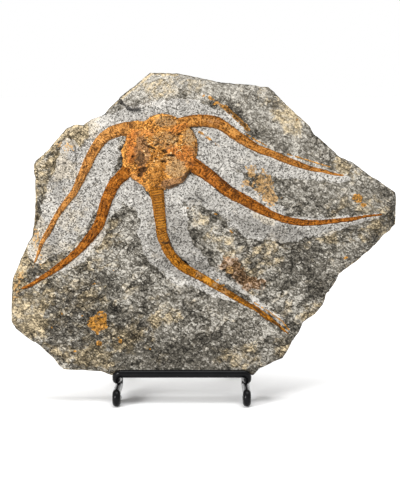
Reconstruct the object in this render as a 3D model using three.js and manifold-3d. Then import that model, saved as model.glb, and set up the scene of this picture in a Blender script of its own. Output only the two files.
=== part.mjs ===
// Brittle star fossil: a five-armed star lying in relief on a broken slab of grey siltstone,
// which leans back on a black bent-wire stand.
// Millimetres, +Z up, the front faces -Y. The slab and the star are drawn in the slab's own
// coordinates: u to the right, v up along the face, w out of the face towards the front.

import * as THREE from 'three';
import { mergeVertices } from 'three/addons/utils/BufferGeometryUtils.js';
import Module from 'manifold-3d';

const wasm = await Module();
wasm.setup();

// ---------- Driving dimensions ----------

const GAP = 0.3; // clearance between pieces that touch

const LEAN = 10; // degrees that the slab leans back
const BASE_HEIGHT = 19; // lower front edge of the slab above the floor
const SLAB_THICKNESS = 24;
const EDGE_CHAMFER = 3; // worn lower front edge, where the lip bar bears
const RELIEF_CELL = 7; // grid of the front face
const BACK_CELL = 15; // grid of the plain back
const BACK_RELIEF = 1.4;
const EDGE_RELIEF = 2.2; // how far the broken sides are hollowed
const EDGE_ROUNDING = 4; // how far the sides round over to the face and the back
const TRIM = 3; // extra thickness, which the face and the back then cut off
const LONGEST_SIDE = 12; // of the outline, once its long sides are divided

const STAR_SEAT = 1.2; // how deep an arm lies in the rock
const ARM_RISE = 1.9; // tallest crown of an arm above the ground beside it
const ARM_STEPS = 28;
const DISC_CENTRE = [-31.9, 155.8];
const DISC_RADIUS = 26;
const DISC_RISE = 3.6;
const DISC_SEAT = 3.5;
const DISC_CELL = 3.8;

const HALO_DEPTH = 1.3; // rock cleaned away around the star
const HALO_WIDTH = 12;

const ROD = 5.6; // wire of the stand, across flats
const ROD_SIDES = 12;
const STAND_CENTRE = -15.75; // middle of the stand, left of the slab's middle
const SIDE_OFFSET = 44.8; // side rods from the stand's middle
const LIP_OFFSET = 45.5; // corners of the lip bar
const BEND_STEP = 24; // degrees of bend for each segment of an arc

// Broken outline of the slab, clockwise from its left shoulder. The flat base runs below
// v = 0, where it is cut off level.
const OUTLINE = [
  [-120, 146], [-118.5, 149.5], [-108, 159.5], [-96.5, 173], [-91.5, 175], [-85, 174.5],
  [-79, 179], [-71, 182], [-67.5, 186], [-60, 193.5], [-51, 201], [-43, 207.5], [-38, 211.5],
  [-28, 211.5], [-18, 211], [-4.5, 208.5], [8.5, 205.5], [27.5, 203.5], [45, 202], [50, 197.5],
  [57.5, 189.5], [67.5, 180], [74, 173.5], [76.5, 168.5], [84.5, 162], [95, 152.5], [104, 149],
  [114.5, 140.5], [126, 133], [133.5, 127.5], [134.5, 122.5], [134.5, 116.5], [134, 105.5],
  [130.5, 101], [125, 97.5], [121, 92], [111, 83], [100.5, 75], [94, 70.5], [91, 63],
  [85.5, 56.5], [82.5, 49], [77, 42.5], [68.5, 36.5], [66, 29.5], [61, 23], [57, 15.5],
  [54.5, 11.5], [48, 9], [39.5, 5], [34, 0], [30, -4], [-17, -4], [-61, -4], [-65, 0],
  [-73, 2.5], [-83, 3], [-98, 4], [-102, 7], [-105.5, 11.5], [-115, 20], [-124.5, 26.5],
  [-132, 32], [-134.5, 38], [-134.5, 47], [-134.5, 61], [-134, 67], [-130, 77], [-126.5, 86.5],
  [-121, 97], [-119.5, 108], [-118.5, 122], [-118.5, 131], [-119.5, 142.5],
];
const OUTLINE_HEART = [-3, 104.5]; // every point of the outline is in sight from here
const SLAB_LOW = [-140, 0]; // a rectangle around the outline, down to the level base
const SLAB_HIGH = [140, 216];

const DISC_OUTLINE = [
  [-54, 176.5], [-42.5, 177.5], [-36, 181], [-28, 182.5], [-22.5, 181], [-17.5, 178],
  [-7.5, 170], [-5, 162], [-5, 154], [-10, 144.5], [-11, 140], [-14.5, 134.5], [-21, 131],
  [-28, 129], [-39.5, 127.5], [-43, 131.5], [-51, 137], [-57.5, 144.5], [-57, 152],
  [-58.5, 156], [-57.5, 158.5], [-55, 165],
];

// Each arm's middle line from the disc to its tip, as [u, v, half width].
const ARMS = {
  arm_upper_left: [
    [-45, 170.5, 5.2], [-54.5, 171.5, 4.9], [-63.5, 169.5, 4.4], [-71, 165, 3.9],
    [-78.5, 154, 3.6], [-85, 140, 3.3], [-91, 127.5, 2.8], [-96, 121, 2.2], [-103, 111, 1.9],
    [-108.5, 100.5, 1.9], [-113, 93, 1.6], [-116, 84.5, 1.1], [-118.5, 78, 0.6],
  ],
  arm_lower_left: [
    [-49.5, 146.5, 4.9], [-56, 140, 4.3], [-63, 133, 4.2], [-67.5, 123.5, 4.1],
    [-70.5, 115, 3.9], [-73.5, 105, 3.8], [-77.5, 99, 3.6], [-84, 91, 3.5], [-91.5, 83.5, 2.9],
    [-100, 76.5, 2.6], [-108.5, 70.5, 2.1], [-116, 66, 1.7], [-122.5, 62, 1.2],
    [-127.5, 60, 0.7],
  ],
  arm_bottom: [
    [-34.5, 136, 6.3], [-33.5, 127.5, 5.2], [-32.5, 122, 4.2], [-31.5, 113, 4.1],
    [-30.5, 104.5, 3.9], [-29.5, 97, 3.8], [-27.5, 92, 3.6], [-25.5, 87, 3.5], [-22, 82, 3.4],
    [-17.5, 77, 3.3], [-11.5, 73, 3.1], [-6, 70, 2.9], [2, 65.5, 2.8], [8.5, 61.5, 2.5],
    [18, 56, 2.4], [27.5, 50.5, 2.2], [35, 46.5, 2.2], [42.5, 41, 2.1], [50, 35.5, 1.6],
    [55.5, 31, 1.2], [58.5, 28.5, 0.6],
  ],
  arm_lower_right: [
    [-17, 156, 5.6], [-10, 148, 5.2], [-4.5, 144, 4.9], [1, 140.5, 4.6], [8.5, 134.5, 4.3],
    [18, 127, 4.1], [27.5, 122, 3.8], [37, 116.5, 3.5], [46, 112, 3.1], [55.5, 108.5, 2.8],
    [65, 106.5, 2.4], [74, 106, 2], [83.5, 106.5, 1.7], [93, 107.5, 1.4], [102.5, 108.5, 1.2],
    [111.5, 110.5, 0.9], [121, 111.5, 0.6], [124, 112, 0.5],
  ],
  arm_upper_right: [
    [-23, 172.5, 4.2], [-18, 175, 4.2], [-10, 177, 4.1], [-1, 177.5, 4.3], [6.5, 176.5, 4.3],
    [12.5, 174, 4.3], [18, 170, 4.1], [27.5, 163.5, 3.6], [37, 158, 3.1], [46, 154.5, 2.9],
    [55.5, 150.5, 2.7], [65, 147, 2.2], [74, 144, 1.7], [83.5, 142, 1.3], [91, 140, 0.8],
    [97.5, 139, 0.5],
  ],
};

// Steps in the bedding: the ground is higher by rise on the left of the line.
const LEDGES = [
  { line: [[-46, 186], [-51.5, 184.5], [-60, 192]], rise: -1.8, reach: 16 },
  { line: [[-31, 189], [-23, 199], [-10, 208]], rise: -1.3, reach: 14 },
  { line: [[22, 186], [40, 184.5], [49.5, 179.5], [60, 172.5], [76, 169]], rise: -1.2, reach: 14 },
  { line: [[-97.5, 173], [-90, 158.5], [-89.5, 146.5]], rise: -1, reach: 12 },
  { line: [[57.5, 119], [70.5, 115]], rise: 1.2, reach: 9 },
  { line: [[-30, 62], [-8, 52], [4, 30], [16, 4]], rise: -1.1, reach: 20 },
  { line: [[-92, 60], [-66, 52], [-48, 60]], rise: 1, reach: 16 },
  { line: [[60, 96], [62, 74], [84, 62]], rise: -1.4, reach: 18 },
];

// Broken facets at the rim: past the point at, in the direction toward (degrees from +u),
// the face falls away at the slope over a stretch of the given half length.
const RIM_FACETS = [
  { at: [58, 178], toward: 67, half: 24, slope: 24 },
  { at: [10, 200], toward: 85, half: 26, slope: 22 },
  { at: [129, 112], toward: -12, half: 14, slope: 50 },
  { at: [59, 20], toward: -42, half: 20, slope: 52 },
  { at: [-104, 158], toward: 137, half: 20, slope: 38 },
  { at: [-56, 192], toward: 130, half: 22, slope: 38 },
  { at: [-115, 104], toward: 172, half: 20, slope: 30 },
  { at: [106, 145], toward: 54, half: 24, slope: 34 },
  { at: [104, 84], toward: -44, half: 22, slope: 40 },
  { at: [-112, 22], toward: -135, half: 18, slope: 32 },
];

// ---------- Small helpers ----------

const { clamp, degToRad, lerp, smoothstep } = THREE.MathUtils;

const fract = (x) => x - Math.floor(x);
const hash = (i, j, seed) => fract(Math.sin(i * 127.1 + j * 311.7 + seed * 74.7) * 43758.5453);

/** Smooth value noise from -1 to 1 on a unit grid. */
function noise(x, y, seed) {
  const i = Math.floor(x);
  const j = Math.floor(y);
  const s = smoothstep(x - i, 0, 1);
  const t = smoothstep(y - j, 0, 1);
  const low = lerp(hash(i, j, seed), hash(i + 1, j, seed), s);
  const high = lerp(hash(i, j + 1, seed), hash(i + 1, j + 1, seed), s);
  return 2 * lerp(low, high, t) - 1;
}

/** Nearest distance from (u, v) to a chain of points, and the side it lies on (+1 left). */
function toLine(u, v, line) {
  let nearest = { distance: Infinity, side: 1, width: 0 };
  for (let k = 0; k + 1 < line.length; k++) {
    const [startU, startV, startWidth = 0] = line[k];
    const [endU, endV, endWidth = 0] = line[k + 1];
    const alongU = endU - startU;
    const alongV = endV - startV;
    const offU = u - startU;
    const offV = v - startV;
    const t = clamp((offU * alongU + offV * alongV) / (alongU ** 2 + alongV ** 2), 0, 1);
    const distance = Math.hypot(offU - t * alongU, offV - t * alongV);
    if (distance < nearest.distance) {
      const side = Math.sign(alongU * offV - alongV * offU);
      nearest = { distance, side, width: lerp(startWidth, endWidth, t) };
    }
  }
  return nearest;
}

/** Distance from (u, v) to the rim of the star, zero on the star itself. */
function toStar(u, v) {
  let nearest = Math.hypot(u - DISC_CENTRE[0], v - DISC_CENTRE[1]) - DISC_RADIUS;
  for (const line of Object.values(ARMS)) {
    const { distance, width } = toLine(u, v, line);
    nearest = Math.min(nearest, distance - width);
  }
  return Math.max(nearest, 0);
}

// ---------- The front face ----------

/** Height w of the rock face at (u, v). */
function face(u, v) {
  let bumps = 1.2 * noise(u / 60, v / 60, 1) + 0.9 * noise(u / 26, v / 26, 2);
  bumps += 0.45 * noise(u / 11, v / 11, 3);
  for (const { line, rise, reach } of LEDGES) {
    const { distance, side } = toLine(u, v, line);
    bumps += rise * side * 0.5 * smoothstep(distance, 0, 1.6) * (1 - smoothstep(distance, 3, reach));
  }
  const cleaned = 1 - smoothstep(toStar(u, v), HALO_WIDTH * 0.6, HALO_WIDTH * 1.3);
  let w = lerp(bumps, bumps * 0.5 - HALO_DEPTH, cleaned);
  w *= smoothstep(v, 2, 16); // the face is level where the lip bar bears
  for (const { at, toward, half, slope } of RIM_FACETS) {
    const angle = degToRad(toward);
    const past = (u - at[0]) * Math.cos(angle) + (v - at[1]) * Math.sin(angle);
    const beside = Math.abs((v - at[1]) * Math.cos(angle) - (u - at[0]) * Math.sin(angle));
    w -= Math.tan(degToRad(slope)) * Math.max(past, 0) * (1 - smoothstep(beside, half, half + 9));
  }
  return Math.max(w, -9);
}

/** Height of the disc's top: a low dome with a lobe, a central pit and a groove around it. */
function discTop(u, v) {
  const fromCentre = Math.hypot(u - DISC_CENTRE[0], v - DISC_CENTRE[1]) / (DISC_RADIUS + 3);
  const dome = DISC_RISE * Math.sqrt(Math.max(1 - fromCentre ** 2, 0));
  const lobe = 1.2 * Math.exp(-(((u + 18) / 6) ** 2) - ((v - 151) / 9) ** 2);
  const pit = -1.5 * Math.exp(-(((u + 30) / 4) ** 2) - ((v - 154) / 3.5) ** 2);
  const ridges = 0.35 * noise(u / 4.5, v / 4.5, 4);
  return face(u, v) + dome + lobe + pit + ridges;
}

// ---------- Solids ----------

/** A closed manifold-3d solid from a three.js geometry. */
function toSolid(geometry) {
  const bare = new THREE.BufferGeometry();
  bare.setAttribute('position', geometry.getAttribute('position'));
  bare.setIndex(geometry.getIndex());
  const merged = mergeVertices(bare, 1e-4);
  return new wasm.Manifold(new wasm.Mesh({
    numProp: 3,
    vertProperties: merged.getAttribute('position').array,
    triVerts: merged.getIndex().array,
  }));
}

/** A three.js geometry from a manifold-3d solid. */
function toGeometry(solid) {
  const { numProp, vertProperties, triVerts } = solid.getMesh();
  const geometry = new THREE.BufferGeometry();
  const buffer = new THREE.InterleavedBuffer(vertProperties, numProp);
  geometry.setAttribute('position', new THREE.InterleavedBufferAttribute(buffer, 3, 0));
  geometry.setIndex(new THREE.BufferAttribute(triVerts, 1));
  const flat = geometry.toNonIndexed();
  flat.computeVertexNormals();
  return flat;
}

/** Moves every vertex of a geometry by a function of its place. */
function reshape(geometry, move) {
  const position = geometry.getAttribute('position');
  const point = new THREE.Vector3();
  for (let k = 0; k < position.count; k++) {
    point.fromBufferAttribute(position, k);
    move(point);
    position.setXYZ(k, point.x, point.y, point.z);
  }
  return geometry;
}

const toShape = (points) => new THREE.Shape(points.map(([u, v]) => new THREE.Vector2(u, v)));

/** A straight prism of an outline from w = low to w = high. */
function prism(points, low, high) {
  const geometry = new THREE.ExtrudeGeometry(toShape(points), { depth: high - low, bevelEnabled: false });
  return toSolid(geometry.translate(0, 0, low));
}

/** A block whose top follows height(u, v) on a square grid. */
function reliefBlock([lowU, lowV], [highU, highV], floor, cell, height) {
  const width = highU - lowU;
  const tall = highV - lowV;
  const columns = Math.round(width / cell);
  const rows = Math.round(tall / cell);
  const block = new THREE.BoxGeometry(width, tall, 1, columns, rows, 1);
  block.translate((lowU + highU) / 2, (lowV + highV) / 2, 0);
  return toSolid(reshape(block, (p) => {
    p.z = p.z > 0 ? height(p.x, p.y) : floor;
  }));
}

/** Points of an outline moved away from a centre, to leave room around a piece. */
function grown(points, [centreU, centreV], by) {
  return points.map(([u, v]) => {
    const scale = 1 + by / Math.hypot(u - centreU, v - centreV);
    return [centreU + (u - centreU) * scale, centreV + (v - centreV) * scale];
  });
}

/** Splits long sides of an outline so that the broken edge has room for its relief. */
function divided(points, longest) {
  return points.flatMap(([u, v], k) => {
    const [nextU, nextV] = points[(k + 1) % points.length];
    const count = Math.ceil(Math.hypot(nextU - u, nextV - v) / longest);
    return Array.from({ length: count }, (_, n) => [lerp(u, nextU, n / count), lerp(v, nextV, n / count)]);
  });
}

// ---------- The slab ----------

/** The slab's rough sides: the outline rounded to the front and back, and hollowed a little. */
function brokenSides() {
  const sides = new THREE.ExtrudeGeometry(toShape(divided(OUTLINE, LONGEST_SIDE)), {
    depth: SLAB_THICKNESS - 2 * EDGE_ROUNDING,
    steps: 2,
    bevelThickness: EDGE_ROUNDING + TRIM,
    bevelSize: EDGE_ROUNDING,
    bevelOffset: -EDGE_ROUNDING,
    bevelSegments: 2,
  });
  sides.translate(0, 0, EDGE_ROUNDING - SLAB_THICKNESS);
  return toSolid(reshape(sides, (p) => {
    const du = p.x - OUTLINE_HEART[0];
    const dv = p.y - OUTLINE_HEART[1];
    const rough = noise((p.x + p.y) / 9, (p.x - p.y) / 9 + p.z / 5, 5);
    const hollow = EDGE_RELIEF * Math.max(rough, 0) * smoothstep(-p.z, 1, 8);
    const scale = 1 - hollow / Math.hypot(du, dv);
    p.x = OUTLINE_HEART[0] + du * scale;
    p.y = OUTLINE_HEART[1] + dv * scale;
  }));
}

/** The rough back of the slab, as a block that reaches forward past the face. */
function backBlock() {
  const [lowU, lowV] = SLAB_LOW;
  const [highU, highV] = SLAB_HIGH;
  const columns = Math.round((highU - lowU) / BACK_CELL);
  const rows = Math.round((highV - lowV) / BACK_CELL);
  const block = new THREE.BoxGeometry(highU - lowU, highV - lowV, 1, columns, rows, 1);
  block.translate(0, (lowV + highV) / 2, 0);
  return toSolid(reshape(block, (p) => {
    const dip = BACK_RELIEF * (0.5 + 0.5 * noise(p.x / 30, p.y / 30, 6));
    p.z = p.z > 0 ? 4 * TRIM : dip - SLAB_THICKNESS;
  }));
}

/** A square bar along the lower front edge, which takes that edge off. */
function edgeCutter() {
  const side = EDGE_CHAMFER * Math.SQRT2;
  const bar = new THREE.BoxGeometry(SLAB_HIGH[0] - SLAB_LOW[0], side, side);
  return toSolid(bar.rotateX(Math.PI / 4));
}

/** The slab with its face, its back, its level base and the bed in which the star lies. */
function makeSlab(starSlots) {
  const front = reliefBlock(SLAB_LOW, SLAB_HIGH, -SLAB_THICKNESS - 3 * TRIM, RELIEF_CELL, face);
  let slab = brokenSides().intersect(front).intersect(backBlock());
  for (const cutter of [edgeCutter(), ...starSlots]) slab = slab.subtract(cutter);
  return slab;
}

// ---------- The star ----------

/** A bar of the given cross section, one unit long, laid along an arm and on the rock face. */
function layAlongArm(line, section, lift, room) {
  const curve = new THREE.CatmullRomCurve3(line.map((point) => new THREE.Vector3(...point)));
  const bar = new THREE.ExtrudeGeometry(section, { depth: 1, steps: ARM_STEPS, bevelEnabled: false });
  return toSolid(reshape(bar, (p) => {
    const t = clamp(p.z, 0, 1);
    const middle = curve.getPointAt(t);
    const along = curve.getTangentAt(t).setZ(0).normalize();
    const across = p.x * (middle.z + room);
    const end = room * (2 * t - 1);
    const height = lift(p.y, middle.z);
    p.x = middle.x - along.y * across + along.x * end;
    p.y = middle.y + along.x * across + along.y * end;
    p.z = face(p.x, p.y) + height;
  }));
}

const CROWN = toShape([[-1, 0], [1, 0], [1, 0.5], [0.6, 0.9], [0, 1], [-0.6, 0.9], [-1, 0.5]]);
const SLOT = toShape([[-1, 0], [1, 0], [1, 1], [-1, 1]]);

/** An arm: flat below, crowned above, lower and thinner towards its tip. */
function makeArm(line) {
  return layAlongArm(line, CROWN, (y, half) => {
    const crown = Math.min(ARM_RISE, 0.5 + 0.4 * half);
    return lerp(-STAR_SEAT, crown, y);
  }, 0);
}

/** The room that an arm needs in the rock. */
function makeArmSlot(line) {
  return layAlongArm(line, SLOT, (y) => lerp(-STAR_SEAT - GAP, 12, y), GAP);
}

function makeDisc() {
  const [u, v] = DISC_CENTRE;
  const reach = DISC_RADIUS + 4;
  const top = reliefBlock([u - reach, v - reach], [u + reach, v + reach], -9, DISC_CELL, discTop);
  return prism(DISC_OUTLINE, -DISC_SEAT, 12).intersect(top);
}

// ---------- The stand ----------

/** The path of a bent rod: straight between its corners, with an arc of the given radius at each. */
class RodPath extends THREE.Curve {
  constructor(corners) {
    super();
    this.stations = [];
    const last = corners.length - 1;
    const points = corners.map(({ at }) => new THREE.Vector3(...at));
    for (let k = 1; k < last; k++) {
      this.addBend(points[k - 1], points[k], points[k + 1], corners[k].radius);
    }
    const away = (from, to) => to.clone().sub(from).normalize();
    this.stations.unshift({ point: points[0], tangent: away(points[0], points[1]) });
    this.stations.push({ point: points[last], tangent: away(points[last - 1], points[last]) });
    this.steps = this.stations.length - 1;
  }

  addBend(before, corner, after, radius) {
    const incoming = corner.clone().sub(before).normalize();
    const outgoing = after.clone().sub(corner).normalize();
    const turn = incoming.angleTo(outgoing);
    const axis = incoming.clone().cross(outgoing).normalize();
    const start = corner.clone().addScaledVector(incoming, -radius * Math.tan(turn / 2));
    const inward = axis.clone().cross(incoming);
    const centre = start.clone().addScaledVector(inward, radius);
    const count = Math.ceil(turn / degToRad(BEND_STEP));
    for (let n = 0; n <= count; n++) {
      const angle = (turn * n) / count;
      const spoke = inward.clone().negate().applyAxisAngle(axis, angle).multiplyScalar(radius);
      const point = centre.clone().add(spoke);
      const previous = this.stations.at(-1);
      if (previous && previous.point.distanceTo(point) < 0.3) continue;
      this.stations.push({ point, tangent: incoming.clone().applyAxisAngle(axis, angle) });
    }
  }

  getPointAt(t, target = new THREE.Vector3()) {
    return target.copy(this.stations[Math.round(t * this.steps)].point);
  }

  getTangentAt(t, target = new THREE.Vector3()) {
    return target.copy(this.stations[Math.round(t * this.steps)].tangent);
  }
}

/** A rod of twelve flats along a bent path, with one flat facing straight down. */
function makeRod(corners) {
  const path = new RodPath(corners);
  const reach = ROD / 2 / Math.cos(Math.PI / ROD_SIDES);
  const section = Array.from({ length: ROD_SIDES }, (_, k) => {
    const angle = ((2 * k + 1) * Math.PI) / ROD_SIDES;
    return [reach * Math.cos(angle), reach * Math.sin(angle)];
  });
  return new THREE.ExtrudeGeometry(toShape(section), {
    steps: path.steps,
    extrudePath: path,
    bevelEnabled: false,
  });
}

const lean = degToRad(LEAN);

/** Place [x, y, z] of a point given in the slab's coordinates. */
function fromSlab(u, v, w) {
  const y = v * Math.sin(lean) - w * Math.cos(lean);
  const z = BASE_HEIGHT + v * Math.cos(lean) + w * Math.sin(lean);
  return [u, y, z];
}

const FLOOR_RUN = ROD / 2; // height of a rod's middle where it lies on the floor
const SHELF = -(GAP + ROD / 2); // v of the runs that carry the slab
const UPRIGHT = -(SLAB_THICKNESS + GAP + ROD / 2); // w of the uprights behind the slab
const UPRIGHT_TOP = 95; // v where the uprights end
const HEEL = 6.3; // height of the bend where an upright turns forward
const HAIRPIN_RADIUS = 3.2;
const HAIRPIN = { y: -17, top: 9.45 };
const TOE_END = 2; // y where the return run on the floor is cut off
const LIP = { v: 1.1, w: 2.6, radius: 3.2 };
const SHELF_END = -16; // w where the carrying runs are cut off
const REAR_LEG = { y: 39.5, z: 80, foot: 86, end: 98 };
const CROSSBAR = { v: 86, reach: 47.5 };

/** Upright, forward leg, tight hairpin toe and return run on the floor, all one rod. */
function makeSideRod(side) {
  const x = STAND_CENTRE + side * SIDE_OFFSET;
  const [, topY, topZ] = fromSlab(x, UPRIGHT_TOP, UPRIGHT);
  const heelY = topY - (topZ - HEEL) * Math.tan(lean);
  return makeRod([
    { at: [x, topY, topZ] },
    { at: [x, heelY, HEEL], radius: 5 },
    { at: [x, HAIRPIN.y, HAIRPIN.top], radius: HAIRPIN_RADIUS },
    { at: [x, HAIRPIN.y, FLOOR_RUN], radius: HAIRPIN_RADIUS },
    { at: [x, TOE_END, FLOOR_RUN] },
  ]);
}

/** Lip bar with its ends bent back and down into the two runs that carry the slab. */
function makeLip() {
  const half = (side) => [
    { at: fromSlab(STAND_CENTRE + side * SIDE_OFFSET, SHELF, SHELF_END) },
    { at: fromSlab(STAND_CENTRE + side * LIP_OFFSET, SHELF, -1.5), radius: 3 },
    { at: fromSlab(STAND_CENTRE + side * LIP_OFFSET, LIP.v, LIP.w), radius: LIP.radius },
  ];
  return makeRod([...half(-1), ...half(1).reverse()]);
}

/** Straight rear leg beside an upright, with a short foot along the floor. */
function makeRearLeg(side) {
  const x = STAND_CENTRE + side * (SIDE_OFFSET - ROD - GAP);
  return makeRod([
    { at: [x, REAR_LEG.y, REAR_LEG.z] },
    { at: [x, REAR_LEG.foot, FLOOR_RUN], radius: 6 },
    { at: [x, REAR_LEG.end, FLOOR_RUN] },
  ]);
}

/** Straight bar across the back of the uprights. */
function makeCrossbar() {
  const behind = UPRIGHT - ROD - GAP;
  return makeRod([
    { at: fromSlab(STAND_CENTRE - CROSSBAR.reach, CROSSBAR.v, behind) },
    { at: fromSlab(STAND_CENTRE + CROSSBAR.reach, CROSSBAR.v, behind) },
  ]);
}

// ---------- Materials and assembly ----------

const rock = new THREE.MeshStandardMaterial({ color: 0x9a948a, roughness: 0.92, metalness: 0 });
const fossil = new THREE.MeshStandardMaterial({ color: 0xa66d38, roughness: 0.85, metalness: 0 });
const blackMetal = new THREE.MeshStandardMaterial({ color: 0x101012, roughness: 0.25, metalness: 0 });

function named(name, geometry, material) {
  const mesh = new THREE.Mesh(geometry, material);
  mesh.name = name;
  return mesh;
}

const specimen = new THREE.Group();
specimen.rotation.x = Math.PI / 2 - lean;
specimen.position.z = BASE_HEIGHT;

const discSlot = prism(grown(DISC_OUTLINE, DISC_CENTRE, GAP), -DISC_SEAT - GAP, 14);
const armSlots = Object.values(ARMS).map(makeArmSlot);
specimen.add(named('rock_slab', toGeometry(makeSlab([discSlot, ...armSlots])), rock));
specimen.add(named('star_disc', toGeometry(makeDisc()), fossil));
for (const [name, line] of Object.entries(ARMS)) {
  specimen.add(named(name, toGeometry(makeArm(line).subtract(discSlot)), fossil));
}

const stand = new THREE.Group();
stand.add(named('stand_lip', makeLip(), blackMetal));
stand.add(named('stand_left_side_rod', makeSideRod(-1), blackMetal));
stand.add(named('stand_right_side_rod', makeSideRod(1), blackMetal));
stand.add(named('stand_left_rear_leg', makeRearLeg(-1), blackMetal));
stand.add(named('stand_right_rear_leg', makeRearLeg(1), blackMetal));
stand.add(named('stand_back_crossbar', makeCrossbar(), blackMetal));

// The origin is on the floor, under the middle of the whole object.
const object = new THREE.Group();
object.add(specimen, stand);
const box = new THREE.Box3().setFromObject(object);
const centre = box.getCenter(new THREE.Vector3());
object.position.set(-centre.x, -centre.y, -box.min.z);

export default object;
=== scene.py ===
"""Looks of a brittle star fossil: a five-armed star in relief on a broken slab of siltstone,
leaning on a black bent-wire stand. Sizes are in millimetres until a mesh is made, and the slab
and the star are worked out in the slab's own coordinates: u to the right, v up along the face,
w out of the face.
"""

from __future__ import annotations

import logging
import math
from dataclasses import dataclass, field
from enum import Enum

import bpy
import numpy as np
from mathutils import Matrix, Vector
from mathutils.geometry import delaunay_2d_cdt


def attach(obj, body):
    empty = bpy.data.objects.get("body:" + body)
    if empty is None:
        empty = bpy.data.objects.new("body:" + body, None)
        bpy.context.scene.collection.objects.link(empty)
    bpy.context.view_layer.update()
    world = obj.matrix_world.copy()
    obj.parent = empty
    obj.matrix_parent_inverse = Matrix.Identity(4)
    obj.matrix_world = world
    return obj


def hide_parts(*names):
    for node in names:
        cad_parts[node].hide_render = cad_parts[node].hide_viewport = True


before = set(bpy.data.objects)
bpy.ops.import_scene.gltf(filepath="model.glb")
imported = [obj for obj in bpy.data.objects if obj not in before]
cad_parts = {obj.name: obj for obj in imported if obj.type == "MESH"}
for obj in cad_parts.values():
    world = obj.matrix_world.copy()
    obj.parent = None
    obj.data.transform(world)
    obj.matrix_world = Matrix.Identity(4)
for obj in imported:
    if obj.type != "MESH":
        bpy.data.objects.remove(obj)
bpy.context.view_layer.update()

log = logging.getLogger("brittle_star")

MM = 0.001
LEAN = math.radians(10)
SIN_LEAN = math.sin(LEAN)
COS_LEAN = math.cos(LEAN)
BASE_HEIGHT = 19.0  # lower front edge of the slab above the floor
SHIFT = -39.1  # from the slab's base to the middle of the whole object
SLAB_THICKNESS = 24.0
ROD = 5.6  # wire of the stand
GAP = 0.3  # clearance between pieces that touch
FAR = 1e9  # farther than anything on the slab

Line = tuple[tuple[float, ...], ...]
Triple = tuple[float, float, float]
Array = np.ndarray
Piece = bpy.types.Object
Material = bpy.types.Material

# Broken outline of the slab, clockwise from its left shoulder, down to its level base.
OUTLINE: Line = (
    (-120, 146), (-118.5, 149.5), (-108, 159.5), (-96.5, 173), (-91.5, 175), (-85, 174.5),
    (-79, 179), (-71, 182), (-67.5, 186), (-60, 193.5), (-51, 201), (-43, 207.5), (-38, 211.5),
    (-28, 211.5), (-18, 211), (-4.5, 208.5), (8.5, 205.5), (27.5, 203.5), (45, 202),
    (50, 197.5), (57.5, 189.5), (67.5, 180), (74, 173.5), (76.5, 168.5), (84.5, 162),
    (95, 152.5), (104, 149), (114.5, 140.5), (126, 133), (133.5, 127.5), (134.5, 122.5),
    (134.5, 116.5), (134, 105.5), (130.5, 101), (125, 97.5), (121, 92), (111, 83), (100.5, 75),
    (94, 70.5), (91, 63), (85.5, 56.5), (82.5, 49), (77, 42.5), (68.5, 36.5), (66, 29.5),
    (61, 23), (57, 15.5), (54.5, 11.5), (48, 9), (39.5, 5), (34, 0), (-65, 0), (-73, 2.5),
    (-83, 3), (-98, 4), (-102, 7), (-105.5, 11.5), (-115, 20), (-124.5, 26.5), (-132, 32),
    (-134.5, 38), (-134.5, 47), (-134.5, 61), (-134, 67), (-130, 77), (-126.5, 86.5),
    (-121, 97), (-119.5, 108), (-118.5, 122), (-118.5, 131), (-119.5, 142.5),
)

SLAB_LOW = (-136, 0)  # a rectangle around the outline
SLAB_HIGH = (136, 213)

DISC_OUTLINE: Line = (
    (-54, 176.5), (-42.5, 177.5), (-36, 181), (-28, 182.5), (-22.5, 181), (-17.5, 178),
    (-7.5, 170), (-5, 162), (-5, 154), (-10, 144.5), (-11, 140), (-14.5, 134.5), (-21, 131),
    (-28, 129), (-39.5, 127.5), (-43, 131.5), (-51, 137), (-57.5, 144.5), (-57, 152),
    (-58.5, 156), (-57.5, 158.5), (-55, 165),
)

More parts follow.
